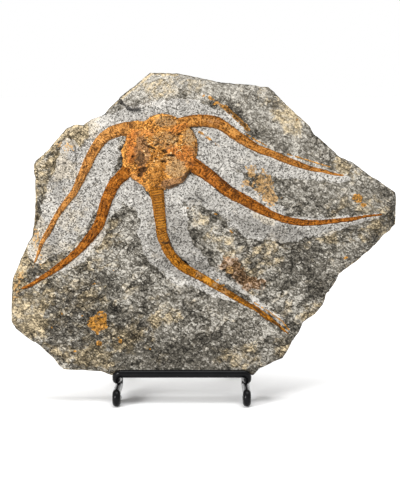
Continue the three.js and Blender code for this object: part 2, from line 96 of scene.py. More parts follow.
# Each arm's middle line from the disc to its tip, as (u, v, half width).
ARMS: dict[str, Line] = {
    "arm_upper_left": (
        (-45, 170.5, 5.2), (-54.5, 171.5, 4.9), (-63.5, 169.5, 4.4), (-71, 165, 3.9),
        (-78.5, 154, 3.6), (-85, 140, 3.1), (-91, 127.5, 2.4), (-96, 121, 2.2),
        (-103, 111, 1.9), (-108.5, 100.5, 1.9), (-113, 93, 1.6), (-116, 84.5, 0.9),
        (-118.5, 78, 0.6),
    ),
    "arm_lower_left": (
        (-49.5, 146.5, 4.9), (-56, 140, 4.3), (-63, 133, 4.2), (-67.5, 123.5, 4.1),
        (-70.5, 115, 3.9), (-73.5, 105, 3.5), (-77.5, 99, 3.4), (-84, 91, 3.1),
        (-91.5, 83.5, 2.6), (-100, 76.5, 2.4), (-108.5, 70.5, 1.8), (-116, 66, 1.4),
        (-122.5, 62, 1.2), (-127.5, 60, 0.7),
    ),
    "arm_bottom": (
        (-34.5, 136, 6.3), (-33.5, 127.5, 5.2), (-32.5, 122, 4.6), (-31.5, 113, 4.1),
        (-30.5, 104.5, 3.9), (-29.5, 97, 3.8), (-27.5, 92, 3.6), (-25.5, 87, 3.5),
        (-22, 82, 3.4), (-17.5, 77, 3.3), (-11.5, 73, 3.1), (-6, 70, 2.9), (2, 65.5, 2.8),
        (8.5, 61.5, 2.3), (18, 56, 2.1), (27.5, 50.5, 1.8), (35, 46.5, 1.8), (42.5, 41, 1.8),
        (50, 35.5, 1.3), (55.5, 31, 1), (58.5, 28.5, 0.6),
    ),
    "arm_lower_right": (
        (-17, 156, 5.6), (-10, 148, 5.2), (-4.5, 144, 4.9), (1, 140.5, 4.6), (8.5, 134.5, 4.3),
        (18, 127, 4.1), (27.5, 122, 3.8), (37, 116.5, 3.5), (46, 112, 2.7), (55.5, 108.5, 2.5),
        (65, 106.5, 2.4), (74, 106, 2), (83.5, 106.5, 1.8), (93, 107.5, 1.5),
        (102.5, 108.5, 1.4), (111.5, 110.5, 0.9), (121, 111.5, 0.6), (124, 112, 0.5),
    ),
    "arm_upper_right": (
        (-23, 172.5, 4.2), (-18, 175, 4.2), (-10, 177, 4.1), (-1, 177.5, 4.3),
        (6.5, 176.5, 4.3), (12.5, 174, 3.9), (18, 170, 3.7), (27.5, 163.5, 3.4),
        (37, 158, 2.8), (46, 154.5, 2.5), (55.5, 150.5, 2.4), (65, 147, 2.2), (74, 144, 1.7),
        (83.5, 142, 1.3), (91, 140, 0.8), (97.5, 139, 0.5),
    ),
}

# Ground that was cleaned away around the star, as strokes of (u, v, half width).
CLEANED: tuple[Line, ...] = (
    ((-70, 164, 12), (-79, 143, 15), (-87, 122, 15), (-100, 100, 12), (-114, 82, 5)),
    ((-94, 157, 7), (-101, 129, 7), (-109.5, 107, 6), (-119, 86, 4)),
    ((-76, 172.5, 7), (-55.5, 179.5, 7), (-31, 184, 9), (-6.5, 184, 8), (12, 179.5, 6),
     (25, 169.5, 4)),
    ((0, 160.5, 13), (16.5, 157, 14), (32, 150, 8), (60, 144.5, 7.5), (84, 139, 4),
     (98, 137.5, 2)),
    ((0, 146.5, 7), (12, 142, 10), (25, 129, 6), (40, 120, 5), (53, 114, 3.5)),
    ((-11.5, 129, 10), (0, 130.5, 10), (14.5, 121, 10.5), (32, 107, 11), (53, 101, 10),
     (74, 102.5, 7), (102, 107, 4), (123, 111, 2)),
    ((-24, 122, 10), (-21, 104.5, 9), (-13.5, 88.5, 7), (0, 74.5, 4.5), (25, 60.5, 2.5),
     (53, 38, 2)),
    ((-51, 128, 10), (-41, 118.5, 7), (-38, 101, 7), (-32.5, 83.5, 7), (-20.5, 69.5, 6.5),
     (-3, 63.5, 4), (25, 52, 2)),
    ((-59, 129, 7), (-67.5, 111.5, 4.5), (-74.5, 94, 4), (-90.5, 78.5, 3.5), (-115, 67.5, 3)),
)


# ---------- Numbers on the stone ----------


def smoothstep(value: Array, low: float, high: float) -> Array:
    """Eases numbers from 0 at low to 1 at high."""
    t = np.clip((value - low) / (high - low), 0.0, 1.0)
    return t * t * (3 - 2 * t)


def lattice(i: Array, j: Array, seed: float) -> Array:
    """Gives the cell in column i and row j of a grid its own fixed number from 0 to 1."""
    x = np.sin(i * 127.1 + j * 311.7 + seed * 74.7) * 43758.5453
    return x - np.floor(x)


def noise(x: Array, y: Array, seed: float) -> Array:
    """Smooth noise on a unit grid.

    Args:
        x: places along the grid.
        y: places up the grid.
        seed: which noise.

    Returns:
        Heights from -1 to 1.
    """
    i = np.floor(x)
    j = np.floor(y)
    s = smoothstep(x - i, 0, 1)
    t = smoothstep(y - j, 0, 1)
    low = lattice(i, j, seed) * (1 - s) + lattice(i + 1, j, seed) * s
    high = lattice(i, j + 1, seed) * (1 - s) + lattice(i + 1, j + 1, seed) * s
    return 2 * (low * (1 - t) + high * t) - 1


def layered(x: Array, y: Array, seed: float, layers: int = 3) -> Array:
    """Noise with finer layers on top of it.

    Args:
        x: places along the grid.
        y: places up the grid.
        seed: which noise.
        layers: how many layers, each half as large and half as strong.

    Returns:
        Heights from about -1 to 1.
    """
    total = np.zeros_like(x, dtype=float)
    for k in range(layers):
        total += noise(x * 2**k + 5.3 * k, y * 2**k - 3.1 * k, seed + 0.37 * k) / 2**k
    return total / (2 - 0.5 ** (layers - 1))


def facets(x: Array, y: Array, seed: float) -> tuple[Array, Array]:
    """Broken facets: every cell of the stone is a small plane with its own tilt and level.

    Args:
        x: places along a unit grid of facets.
        y: places up that grid.
        seed: which facets.

    Returns:
        Heights from about -1 to 1, and each facet's own tone from -1 to 1.
    """
    i = np.floor(x)
    j = np.floor(y)
    nearest = np.full_like(x, 9.0, dtype=float)
    level = np.zeros_like(x, dtype=float)
    tone = np.zeros_like(x, dtype=float)
    for di in (-1, 0, 1):
        for dj in (-1, 0, 1):
            a = i + di
            b = j + dj
            off_x = x - a - lattice(a, b, seed)
            off_y = y - b - lattice(a, b, seed + 1)
            height = lattice(a, b, seed + 2) - 0.5
            height = height + (2 * lattice(a, b, seed + 3) - 1) * off_x * 0.9
            height = height + (2 * lattice(a, b, seed + 4) - 1) * off_y * 0.9
            distance = off_x**2 + off_y**2
            closer = distance < nearest
            level = np.where(closer, height, level)
            tone = np.where(closer, 2 * lattice(a, b, seed + 5) - 1, tone)
            nearest = np.where(closer, distance, nearest)
    return level, tone


def chips(x: Array, y: Array, seed: float) -> Array:
    """The heights of broken facets on a unit grid."""
    return facets(x, y, seed)[0]


@dataclass
class Nearest:
    """How a set of points lies to a chain of points."""

    distance: Array
    side: Array  # +1 left of the chain's direction
    width: Array  # third number of the chain, carried along it
    run: Array  # distance along the chain


def to_line(u: Array, v: Array, line: Array | Line) -> Nearest:
    """Finds the nearest place of each point on a chain of points.

    Args:
        u: places of the points, to the right.
        v: places of the points, up the face.
        line: the chain, as (u, v) or (u, v, width).

    Returns:
        The distance, side, width and run of each point.
    """
    chain = np.array(line, dtype=float)
    found = Nearest(np.full(u.shape, FAR), np.ones(u.shape), np.zeros(u.shape), np.zeros(u.shape))
    run = 0.0
    for start, end in zip(chain[:-1], chain[1:]):
        along = end[:2] - start[:2]
        length = math.hypot(along[0], along[1])
        off_u = u - start[0]
        off_v = v - start[1]
        t = np.clip((off_u * along[0] + off_v * along[1]) / length**2, 0, 1)
        distance = np.hypot(off_u - t * along[0], off_v - t * along[1])
        closer = distance < found.distance
        found.distance = np.where(closer, distance, found.distance)
        found.side = np.where(closer, np.sign(along[0] * off_v - along[1] * off_u), found.side)
        found.run = np.where(closer, run + t * length, found.run)
        if chain.shape[1] > 2:
            width = start[2] + t * (end[2] - start[2])
            found.width = np.where(closer, width, found.width)
        run += length
    return found


def smooth_line(line: Array | Line, step: float) -> Array:
    """Draws a smooth curve through a chain of points, as a centripetal Catmull-Rom curve.

    Args:
        line: the points, each (u, v, half width).
        step: distance between the points of the result.

    Returns:
        Evenly spaced points (u, v, half width) on the curve.
    """
    points = np.array(line, dtype=float)
    first = 2 * points[0] - points[1]
    last = 2 * points[-1] - points[-2]
    points = np.vstack([first, points, last])
    dense = []
    for p0, p1, p2, p3 in zip(points[:-3], points[1:-2], points[2:-1], points[3:]):
        t0 = 0.0
        t1 = t0 + math.sqrt(np.linalg.norm(p1 - p0))
        t2 = t1 + math.sqrt(np.linalg.norm(p2 - p1))
        t3 = t2 + math.sqrt(np.linalg.norm(p3 - p2))
        t = np.linspace(t1, t2, 24, endpoint=False)[:, None]
        a1 = (t1 - t) / (t1 - t0) * p0 + (t - t0) / (t1 - t0) * p1
        a2 = (t2 - t) / (t2 - t1) * p1 + (t - t1) / (t2 - t1) * p2
        a3 = (t3 - t) / (t3 - t2) * p2 + (t - t2) / (t3 - t2) * p3
        b1 = (t2 - t) / (t2 - t0) * a1 + (t - t0) / (t2 - t0) * a2
        b2 = (t3 - t) / (t3 - t1) * a2 + (t - t1) / (t3 - t1) * a3
        dense.append((t2 - t) / (t2 - t1) * b1 + (t - t1) / (t2 - t1) * b2)
    dense = np.vstack([*dense, points[-2:-1]])
    return evenly(dense, step)


def evenly(points: Array, step: float) -> Array:
    """Spaces points evenly along a chain.

    Args:
        points: the chain, with u and v first.
        step: about how far apart the new points are.

    Returns:
        The new points, with the chain's two ends kept.
    """
    lengths = np.hypot(*(points[1:, :2] - points[:-1, :2]).T)
    runs = np.concatenate([[0.0], np.cumsum(lengths)])
    count = max(2, round(runs[-1] / step) + 1)
    wanted = np.linspace(0, runs[-1], count)
    return np.stack([np.interp(wanted, runs, points[:, k]) for k in range(points.shape[1])], 1)


def sideways(path: Array) -> Array:
    """Gives the unit direction to the left of a path at each of its points.

    Args:
        path: points with u and v first.

    Returns:
        One (u, v) direction for each point.
    """
    along = np.gradient(path[:, :2], axis=0)
    along /= np.maximum(np.linalg.norm(along, axis=1, keepdims=True), 1e-9)
    return np.stack([-along[:, 1], along[:, 0]], 1)


def slab_point(u: float, v: float, w: float) -> Triple:
    """A point of the slab's coordinates in those of the stand, in millimetres."""
    return (u, v * SIN_LEAN - w * COS_LEAN, BASE_HEIGHT + v * COS_LEAN + w * SIN_LEAN)


def in_place(u: Array, v: Array, w: Array) -> Array:
    """Turns the slab's coordinates in millimetres into places in metres, one in each row."""
    x, y, z = slab_point(u, v, w)
    return np.stack([x, y + SHIFT, z], -1) * MM


def rows_beside(line: Line, step: float, offsets: list[float]) -> list[Array]:
    """Rows of points a step apart, at those offsets to the left of a line."""
    path = evenly(np.array(line, dtype=float), step)
    return [path + sideways(path) * offset for offset in offsets]


# ---------- Node trees ----------


class Value:
    """A socket whose arithmetic adds Math nodes to its tree."""

    def __init__(self, tree: Tree, socket: bpy.types.NodeSocket) -> None:
        """Wraps a socket of a tree."""
        self.tree = tree
        self.socket = socket

    def math(self, operation: str, *others: Value | float) -> Value:
        """Adds one Math node with this as its first operand."""
        return self.tree.math(operation, self, *others)

    def __add__(self, other: Value | float) -> Value:
        """Sum."""
        return self.math("ADD", other)

    __radd__ = __add__

    def __sub__(self, other: Value | float) -> Value:
        """Difference."""
        return self.math("SUBTRACT", other)

    def __rsub__(self, other: float) -> Value:
        """Difference from a number."""
        return self.tree.math("SUBTRACT", other, self)

    def __mul__(self, other: Value | float) -> Value:
        """Product."""
        return self.math("MULTIPLY", other)

    __rmul__ = __mul__

    def __rpow__(self, other: float) -> Value:
        """A number to the power of this."""
        return self.tree.math("POWER", other, self)

    def at_most(self, other: Value | float) -> Value:
        """The smaller of two."""
        return self.math("MINIMUM", other)

    def at_least(self, other: Value | float) -> Value:
        """The larger of two."""
        return self.math("MAXIMUM", other)

    def away(self) -> Value:
        """Distance from zero."""
        return self.math("ABSOLUTE")

    def eased(self, low: float, high: float) -> Value:
        """Rises smoothly from 0 at low to 1 at high."""
        return self.tree.add(
            "ShaderNodeMapRange",
            {"interpolation_type": "SMOOTHSTEP", "clamp": True},
            {"Value": self, "From Min": low, "From Max": high, "To Min": 0.0, "To Max": 1.0},
        )


Setting = Value | float | int | bool | str | tuple[float, ...] | bpy.types.ID


class Tree:
    """A node tree that is filled from Python."""

    def __init__(self, nodes: bpy.types.NodeTree) -> None:
        """Starts on an empty tree."""
        self.nodes = nodes
        self.nodes.nodes.clear()

    def add(
        self,
        kind: str,
        settings: dict[str, object] | None = None,
        sockets: dict[str | int, Setting] | None = None,
        output: str | int = 0,
    ) -> Value:
        """Adds a node.

        Args:
            kind: the node's type.
            settings: its own settings, which are set first.
            sockets: values or links for its inputs, by name or number.
            output: which output is wanted.

        Returns:
            That output.
        """
        node = self.nodes.nodes.new(kind)
        for name, setting in (settings or {}).items():
            setattr(node, name, setting)
        for name, value in (sockets or {}).items():
            socket = self.find(node, name)
            if isinstance(value, Value):
                self.nodes.links.new(value.socket, socket)
            else:
                socket.default_value = value
        return Value(self, node.outputs[output]) if node.outputs else Value(self, None)

    def math(self, operation: str, *operands: Value | float) -> Value:
        """Adds one Math node."""
        return self.add("ShaderNodeMath", {"operation": operation}, dict(enumerate(operands)))

    def vector(self, operation: str, first: Setting, second: Setting) -> Value:
        """Adds one Vector Math node; the second operand of a scaling is a number."""
        other = "Scale" if operation == "SCALE" else 1
        return self.add("ShaderNodeVectorMath", {"operation": operation}, {0: first, other: second})

    @staticmethod
    def find(node: bpy.types.Node, name: str | int) -> bpy.types.NodeSocket:
        """The enabled input of that name, or the input of that number."""
        if isinstance(name, int):
            return node.inputs[name]
        named = [socket for socket in node.inputs if socket.name == name]
        return next((socket for socket in named if socket.enabled), named[0])


class Paint(Tree):
    """A material's tree."""

    def __init__(self, name: str) -> None:
        """Starts a material of that name."""
        self.material = bpy.data.materials.new(name)
        self.material.use_nodes = True
        super().__init__(self.material.node_tree)
        self.place = self.add("ShaderNodeTexCoord", output="Object")

    def grain(
        self, size: float, detail: float = 2.0, twist: float = 0.0, shift: float = 0.0,
        place: Value | None = None,
    ) -> Value:
        """Noise of one grain size.

        Args:
            size: about the size of a grain, in millimetres.
            detail: how many finer layers.
            twist: how much the grains are pulled about.
            shift: moves the pattern, so that two patterns differ.
            place: where the pattern is read, if not at the plain place.

        Returns:
            Numbers around 0.
        """
        moved = self.vector("ADD", place or self.place, (shift, 2 * shift, -shift))
        sockets = {"Vector": moved, "Scale": 1000 / size, "Detail": detail, "Roughness": 0.6}
        return self.add("ShaderNodeTexNoise", {}, {**sockets, "Distortion": twist}) - 0.5

    def bent(self, size: float, amount: float) -> Value:
        """Places pulled about by noise.

        Args:
            size: about the size of the bends, in millimetres.
            amount: how far places move, in millimetres.

        Returns:
            The moved places.
        """
        sockets = {"Vector": self.place, "Scale": 1000 / size, "Detail": 1.0}
        wave = self.add("ShaderNodeTexNoise", {}, sockets, "Color")
        centred = self.vector("SUBTRACT", wave, (0.5, 0.5, 0.5))
        return self.vector("ADD", self.place, self.vector("SCALE", centred, amount * MM))

    def slanted(self, degrees: float, stretch: float, place: Value | None = None) -> Value:
        """Places turned on the face and drawn out, so that a pattern on them runs in streaks.

        Args:
            degrees: how far the streaks turn from the level, anticlockwise.
            stretch: how many times longer the pattern gets.
            place: the places, if not the plain ones.

        Returns:
            The new places.
        """
        sockets = {"Vector": place or self.place, "Angle": math.radians(degrees)}
        turned = self.add("ShaderNodeVectorRotate", {"rotation_type": "Y_AXIS"}, sockets)
        return self.vector("MULTIPLY", turned, (1 / stretch, 1.0, 1.0))

    def crystals(self, size: float, place: Value) -> tuple[Value, Value]:
        """A packed pattern of grains.

        Args:
            size: size of a grain, in millimetres.
            place: where the pattern is read.

        Returns:
            Each grain's own tone around 0, and the distance from its middle.
        """
        middle = self.add("ShaderNodeTexVoronoi", {}, {"Vector": place, "Scale": 1000 / size})
        tint = Value(self, middle.socket.node.outputs["Color"])
        return self.add("ShaderNodeSeparateColor", {}, {0: tint}) - 0.5, middle

    def creases(self, size: float, place: Value) -> Value:
        """The creases between packed grains of that size: 0 on a grain, 1 in a crease."""
        sockets = {"Vector": place, "Scale": 1000 / size}
        edge = self.add("ShaderNodeTexVoronoi", {"feature": "DISTANCE_TO_EDGE"}, sockets)
        return 1 - edge.eased(0.0, 0.07)

    def mark(self, name: str) -> Value:
        """A number that the mesh carries at its points."""
        return self.add("ShaderNodeAttribute", {"attribute_name": name}, output="Fac")

    def mix(self, amount: Value | float, first: Setting, second: Setting) -> Value:
        """Blends two colours.

        Args:
            amount: 0 for the first colour, 1 for the second.
            first: a colour.
            second: another colour.

        Returns:
            The blend.
        """
        settings = {"data_type": "RGBA", "clamp_factor": True}
        pair = {0: amount, 6: full(first), 7: full(second)}
        return self.add("ShaderNodeMix", settings, pair, 2)

    def shade(self, colour: Value | Triple, level: Value) -> Value:
        """A colour made lighter or darker."""
        return self.vector("SCALE", colour, level)

    def bump(self, height: Value, strength: float, depth: float) -> Value:
        """The surface's direction under fine relief of that depth in millimetres."""
        sockets = {"Strength": strength, "Distance": depth * MM, "Height": height}
        return self.add("ShaderNodeBump", {}, sockets)

    def finish(
        self, colour: Setting, roughness: Value | float, gloss: float, normal: Value | None = None
    ) -> Material:
        """Closes the material with its shader.

        Args:
            colour: its colour.
            roughness: how matt it is.
            gloss: its specular level.
            normal: the surface's direction, if it has fine relief.

        Returns:
            The material.
        """
        sockets = {"Base Color": full(colour), "Roughness": roughness, "Specular IOR Level": gloss}
        if normal:
            sockets["Normal"] = normal
        shader = self.add("ShaderNodeBsdfPrincipled", {}, sockets)
        self.add("ShaderNodeOutputMaterial", {}, {"Surface": shader})
        return self.material


def full(colour: Setting) -> Setting:
    """Gives a plain colour its fourth number."""
    return (*colour, 1.0) if isinstance(colour, tuple) else colour


class Recipe(Tree):
    """A Geometry Nodes tree with named inputs, run once on a mesh."""

    def __init__(self, name: str, inputs: dict[str, str]) -> None:
        """Starts a tree.

        Args:
            name: name of the tree.
            inputs: its inputs between the geometry and the material, by name, with their types.
        """
        group = bpy.data.node_groups.new(name, "GeometryNodeTree")
        super().__init__(group)
        for label, kind in {"Geometry": "Geometry", **inputs, "Material": "Material"}.items():
            group.interface.new_socket(label, in_out="INPUT", socket_type="NodeSocket" + kind)
        group.interface.new_socket("Geometry", in_out="OUTPUT", socket_type="NodeSocketGeometry")
        self.entry = group.nodes.new("NodeGroupInput")

    def given(self, name: str) -> Value:
        """One of the tree's inputs."""
        return Value(self, self.entry.outputs[name])

    def mark(self, name: str, kind: str = "FLOAT") -> Value:
        """What the mesh carries at its points under that name."""
        return self.add("GeometryNodeInputNamedAttribute", {"data_type": kind}, {"Name": name})

    def drawn(self, low: Setting, high: Setting, seed: Value | int) -> Value:
        """Draws a random number, or three, for each point.

        Args:
            low: the least, as a number or three.
            high: the most.
            seed: which draw.

        Returns:
            The draw.
        """
        if isinstance(low, tuple):
            sockets = {0: low, 1: high, "Seed": seed}
            return self.add("FunctionNodeRandomValue", {"data_type": "FLOAT_VECTOR"}, sockets)
        sockets = {2: low, 3: high, "Seed": seed}
        return self.add("FunctionNodeRandomValue", {"data_type": "FLOAT"}, sockets, 1)

    def strewn(self, points: Value, shape: Value, rotation: Value, scale: Value) -> Value:
        """Puts a turned and scaled shape on each point."""
        sockets = {"Points": points, "Instance": shape, "Rotation": rotation, "Scale": scale}
        return self.add("GeometryNodeInstanceOnPoints", {}, sockets)

    def toned(self, instances: Value, low: float, high: float, seed: int) -> Value:
        """Gives each instance its own tone.

        Args:
            instances: the instances.
            low: the darkest tone.
            high: the lightest.
            seed: which draw.

        Returns:
            The instances with their tones.
        """
        settings = {"data_type": "FLOAT", "domain": "INSTANCE"}
        sockets = {"Geometry": instances, "Name": "tone", "Value": self.drawn(low, high, seed)}
        return self.add("GeometryNodeStoreNamedAttribute", settings, sockets)

    def close(self, geometry: Value, smooth: bool) -> None:
        """Ends the tree: instances are made real and given their shading and their material.

        Args:
            geometry: what the tree has made.
            smooth: whether the faces are shaded smoothly.
        """
        real = self.add("GeometryNodeRealizeInstances", {}, {"Geometry": geometry})
        shaded = self.add("GeometryNodeSetShadeSmooth", {}, {"Geometry": real, "Shade Smooth": smooth})
        sockets = {"Geometry": shaded, "Material": self.given("Material")}
        self.add("NodeGroupOutput", {}, {0: self.add("GeometryNodeSetMaterial", {}, sockets)})

    def run(self, piece: Piece, values: dict[str, object]) -> Piece:
        """Runs the tree on a piece and keeps the result as its plain mesh.

        Args:
            piece: what the tree works on.
            values: the tree's inputs, by name.

        Returns:
            The same piece with its new mesh.
        """
        modifier = piece.modifiers.new(self.nodes.name, "NODES")
        modifier.node_group = self.nodes
        for item in self.nodes.interface.items_tree:
            if item.in_out == "INPUT" and item.name in values:
                modifier[item.identifier] = values[item.name]
        bpy.context.view_layer.update()
        evaluated = piece.evaluated_get(bpy.context.evaluated_depsgraph_get())
        mesh = bpy.data.meshes.new_from_object(evaluated)
        mesh.name = piece.name
        piece.modifiers.remove(modifier)
        piece.data = mesh
        return piece


# ---------- Meshes ----------


def new_piece(
    name: str,
    points: Array,
    faces: list[tuple[int, ...]],
    marks: dict[str, Array] | None = None,
    smooth: bool = True,
) -> Piece:
    """Makes an object from points and faces, or a path where there are no faces.

    Args:
        name: its name.
        points: places in metres.
        faces: indices of each face, seen from outside.
        marks: numbers carried at the points, by name.
        smooth: whether the faces are shaded smoothly.

    Returns:
        The object, in the scene.
    """
    mesh = bpy.data.meshes.new(name)
    edges = [] if faces else [(k, k + 1) for k in range(len(points) - 1)]
    mesh.from_pydata(points.tolist(), edges, faces)
    for label, numbers in (marks or {}).items():
        layer = mesh.attributes.new(label, "FLOAT", "POINT")
        layer.data.foreach_set("value", np.ascontiguousarray(numbers, dtype=np.float32))
    mesh.polygons.foreach_set("use_smooth", [smooth] * len(mesh.polygons))
    mesh.update()
    piece = bpy.data.objects.new(name, mesh)
    bpy.context.scene.collection.objects.link(piece)
    return piece


def triangulate(rim: Array, inner: Array) -> tuple[Array, list[tuple[int, ...]]]:
    """Covers a flat outline with triangles that use the given points inside it.

    Args:
        rim: the closed outline, anticlockwise, as (u, v).
        inner: points inside it.

    Returns:
        The points that are used, the rim's first and in order, and the triangles.
    """
    points = [Vector(p) for p in rim.tolist()] + [Vector(p) for p in inner.tolist()]
    count = len(rim)
    ring = [(k, (k + 1) % count) for k in range(count)]
    placed, _, faces, sources, _, _ = delaunay_2d_cdt(points, ring, [], 1, 1e-6)
    number = {}
    flat = list(rim)
    for k, source in enumerate(sources):
        at_rim = [s for s in source if s < count]
        if at_rim:
            number[k] = at_rim[0]
        else:
            number[k] = len(flat)
            flat.append(np.array(placed[k]))
    return np.array(flat), [tuple(number[k] for k in face) for face in faces]


def hexagonal(low: tuple[float, float], high: tuple[float, float], cell: float) -> Array:
    """Points of a jittered honeycomb over a rectangle.

    Args:
        low: its lower left corner.
        high: its upper right corner.
        cell: distance between the points.

    Returns:
        The points, as (u, v).
    """
    columns = np.arange(low[0], high[0], cell)
    rows = np.arange(low[1], high[1], cell * 0.866)  # half the root of three
    u, v = np.meshgrid(columns, rows)
    u[1::2] += cell / 2
    i, j = np.meshgrid(np.arange(len(columns)), np.arange(len(rows)))
    jitter = 0.5
    u += (lattice(i, j, 61) - 0.5) * jitter * cell
    v += (lattice(i, j, 62) - 0.5) * jitter * cell
    return np.stack([u.ravel(), v.ravel()], 1)


def number_rings(rows: list[Array], count: int) -> list[Array]:
    """Numbers the first points of each row, as they stand once the rows are stacked."""
    starts = np.cumsum([0] + [len(row) for row in rows[:-1]])
    return [start + np.arange(count) for start in starts]


def stitch(rings: list[Array]) -> list[tuple[int, ...]]:
    """Joins closed rings of point numbers with quads.

    Args:
        rings: rings with the same number of points each.

    Returns:
        The quads.
    """
    faces = []
    for upper, lower in zip(rings[:-1], rings[1:]):
        quads = np.stack([upper, lower, np.roll(lower, -1), np.roll(upper, -1)], 1)
        faces += map(tuple, quads.tolist())
    return faces


def turn_outwards(piece: Piece) -> None:
    """Turns a closed piece's faces outwards where they point inwards.

    Args:
        piece: the piece.
    """
    mesh = piece.data
    mesh.calc_loop_triangles()
    points = np.empty(len(mesh.vertices) * 3)
    mesh.vertices.foreach_get("co", points)
    corners = np.empty(len(mesh.loop_triangles) * 3, dtype=np.int32)
    mesh.loop_triangles.foreach_get("vertices", corners)
    a, b, c = points.reshape(-1, 3)[corners.reshape(-1, 3)].transpose(1, 0, 2)
    if np.einsum("ij,ij->i", a, np.cross(b, c)).sum() < 0:
        mesh.flip_normals()


# ---------- Finishes ----------


@dataclass(frozen=True)
class RockFinish:
    """Grey siltstone: salt-and-pepper where it was carved, hackly and stained where it was not."""

    carved_light: float = 0.335
    broken_light: float = 0.172
    fresh_tint: Triple = (1.02, 0.95, 0.84)
    grey_tint: Triple = (1.03, 0.93, 0.75)
    tan_tint: Triple = (1.26, 1.0, 0.61)
    rust_tint: Triple = (1.04, 0.58, 0.26)
    ochre: Triple = (0.33, 0.20, 0.082)
    cool_tint: Triple = (1.0, 0.985, 0.945)
    orange: Triple = (0.36, 0.165, 0.026)
    # near black: painted shade in cracks and painted shadow under ledges
    crack_and_shadow: Triple = (0.012, 0.011, 0.01)
    salt_size: float = 1.4  # grain sizes in millimetres
    pepper_size: float = 0.76
    chip_size: float = 0.95
    flake_size: float = 2.3
    plate_size: float = 5.2

    def paint(self) -> Material:
        """Makes the material."""
        p = Paint("grey_siltstone")
        bent = p.bent(2.4, 1.1)
        buckled = p.bent(6.0, 4.0)
        salt, salt_dome = p.crystals(self.salt_size, bent)
        pepper, pepper_dome = p.crystals(self.pepper_size, bent)
        bedded = p.slanted(32, 1.9, buckled)
        plate = p.crystals(self.plate_size, bedded)[0]
        flake = p.crystals(self.flake_size, p.slanted(-24, 1.6, buckled))[0]
        split = p.grain(6.5, 4.0, 0.5, 3.1, p.slanted(-32, 1.8, bent))
        streaks = p.grain(1.3, 3.0, 0.9, 0.4, p.slanted(38, 3.2))
        scales = p.grain(1.6, 3.0, 0.9, 4.4, p.slanted(-25, 2.6))
        curls = 0.11 - p.grain(1.7, 2.0, 1.0, shift=0.77).away()
        lumps = p.grain(4.2, 3.0, 0.5, shift=1.9)
        mottle = p.grain(13.0, 3.0, shift=2.7)
        fine = p.mark("fine")
        carved = (p.mark("carved") + lumps * 0.7 + flake * 0.3).eased(0.34, 0.66)
        bare = 1 - carved
        specks = pepper.eased(0.12, 0.32)
        carved_tone = salt * 0.65 - pepper * 0.8 + mottle * 0.35 + lumps * 0.25 - specks * 1.5
        carved_level = self.carved_light * (2 ** carved_tone)
        chip = p.crystals(self.chip_size, p.slanted(-28, 2.1, bent))[0]
        shelf = split.eased(-0.015, 0.015) + split.eased(0.09, 0.12)
        shelf = shelf + split.eased(-0.12, -0.09) - 1.5
        # creases between the plates: cut in by the bump, and painted darker in the colour as painted
        # shade
        crevice_and_shade = p.creases(self.plate_size, bedded)
        crevice_and_shade = crevice_and_shade * (lumps * 3.0 + mottle * 2.0 + 0.5).eased(0.1, 0.5)
        hackly = flake * 0.7 + plate * 0.7 + curls * 0.4 + streaks * 1.6 + scales * 1.2 + lumps * 0.6
        hackly = hackly + fine * 0.35 + p.mark("facet") * 0.8 + shelf * 0.3 - crevice_and_shade * 1.5
        calm = (p.mark("calm") * 0.45 + p.mark("pale") * 0.25).at_most(0.7)
        broken = (chip * 2.3 + pepper * 2.0 + salt * 0.5) * (1 - calm * 0.4)
        broken = broken + mottle * 1.1 + hackly * (1 - calm)
        broken_level = self.broken_light * (2 ** broken)
        level = carved_level * carved + broken_level * bare
        # dark marks hold darker rock and painted shadow; pale marks lighten the rock
        level = level * (1 - p.mark("dark") * (0.6 - carved * 0.3)) * (1 + p.mark("pale") * 0.9)
        # lightens pale streaks, the edge band, and the painted highlight (rim light) along the star's
        # edge
        light = (1 + p.mark("seam") * 0.8) * level
        warmth = p.mark("tan") + plate * 0.5 + lumps * 0.9 + mottle * 0.9 + flake * 0.3
        warmth = warmth.eased(0.1, 0.9)
        tint = p.mix(carved, self.grey_tint, self.fresh_tint)
        tint = p.mix(warmth * (1 - carved * 0.7), tint, self.tan_tint)
        rust = (p.mark("rust") + lumps * 0.8 + flake * 0.4).eased(0.25, 0.75)
        tint = p.mix(rust, tint, self.rust_tint)
        tint = p.mix(light.eased(0.1, 0.34) * (0.45 - warmth * 0.35), tint, self.cool_tint)
        colour = p.shade(tint, light.at_most(0.5))
        gritty = 1 + salt * 1.0 + pepper * 1.1
        ochre = (p.mark("ochre") * (1.1 + lumps * 2.2 + salt * 1.2 + pepper * 0.6)).eased(0.5, 0.66)
        colour = p.mix(ochre * 0.85, colour, p.shade(self.ochre, gritty))
        orange = (p.mark("orange") * (1.15 + salt * 0.8 + pepper * 0.5 + lumps)).eased(0.5, 0.7)
        colour = p.mix(orange * 0.9, colour, p.shade(self.orange, gritty))
        # cracks and shadow lines are painted near-black: painted shade
        crack_and_shadow = (p.mark("crack_and_shadow") + salt * 0.5).eased(0.4, 0.95)
        colour = p.mix(crack_and_shadow * 0.85, colour, self.crack_and_shadow)
        broken_height = plate + flake * 0.6 + streaks * 1.3 + scales + curls * 0.6
        broken_height = broken_height + shelf * 0.9 - crevice_and_shade
        height = broken_height * (bare * (1 - calm * 0.5)) + pepper * 0.45 + salt * 0.3
        height = height - salt_dome * 0.4 - pepper_dome * 0.3
        bump = p.bump(height, 0.85, 1.0)
        return p.finish(colour, 0.93 - salt * 0.1, 0.1, bump)


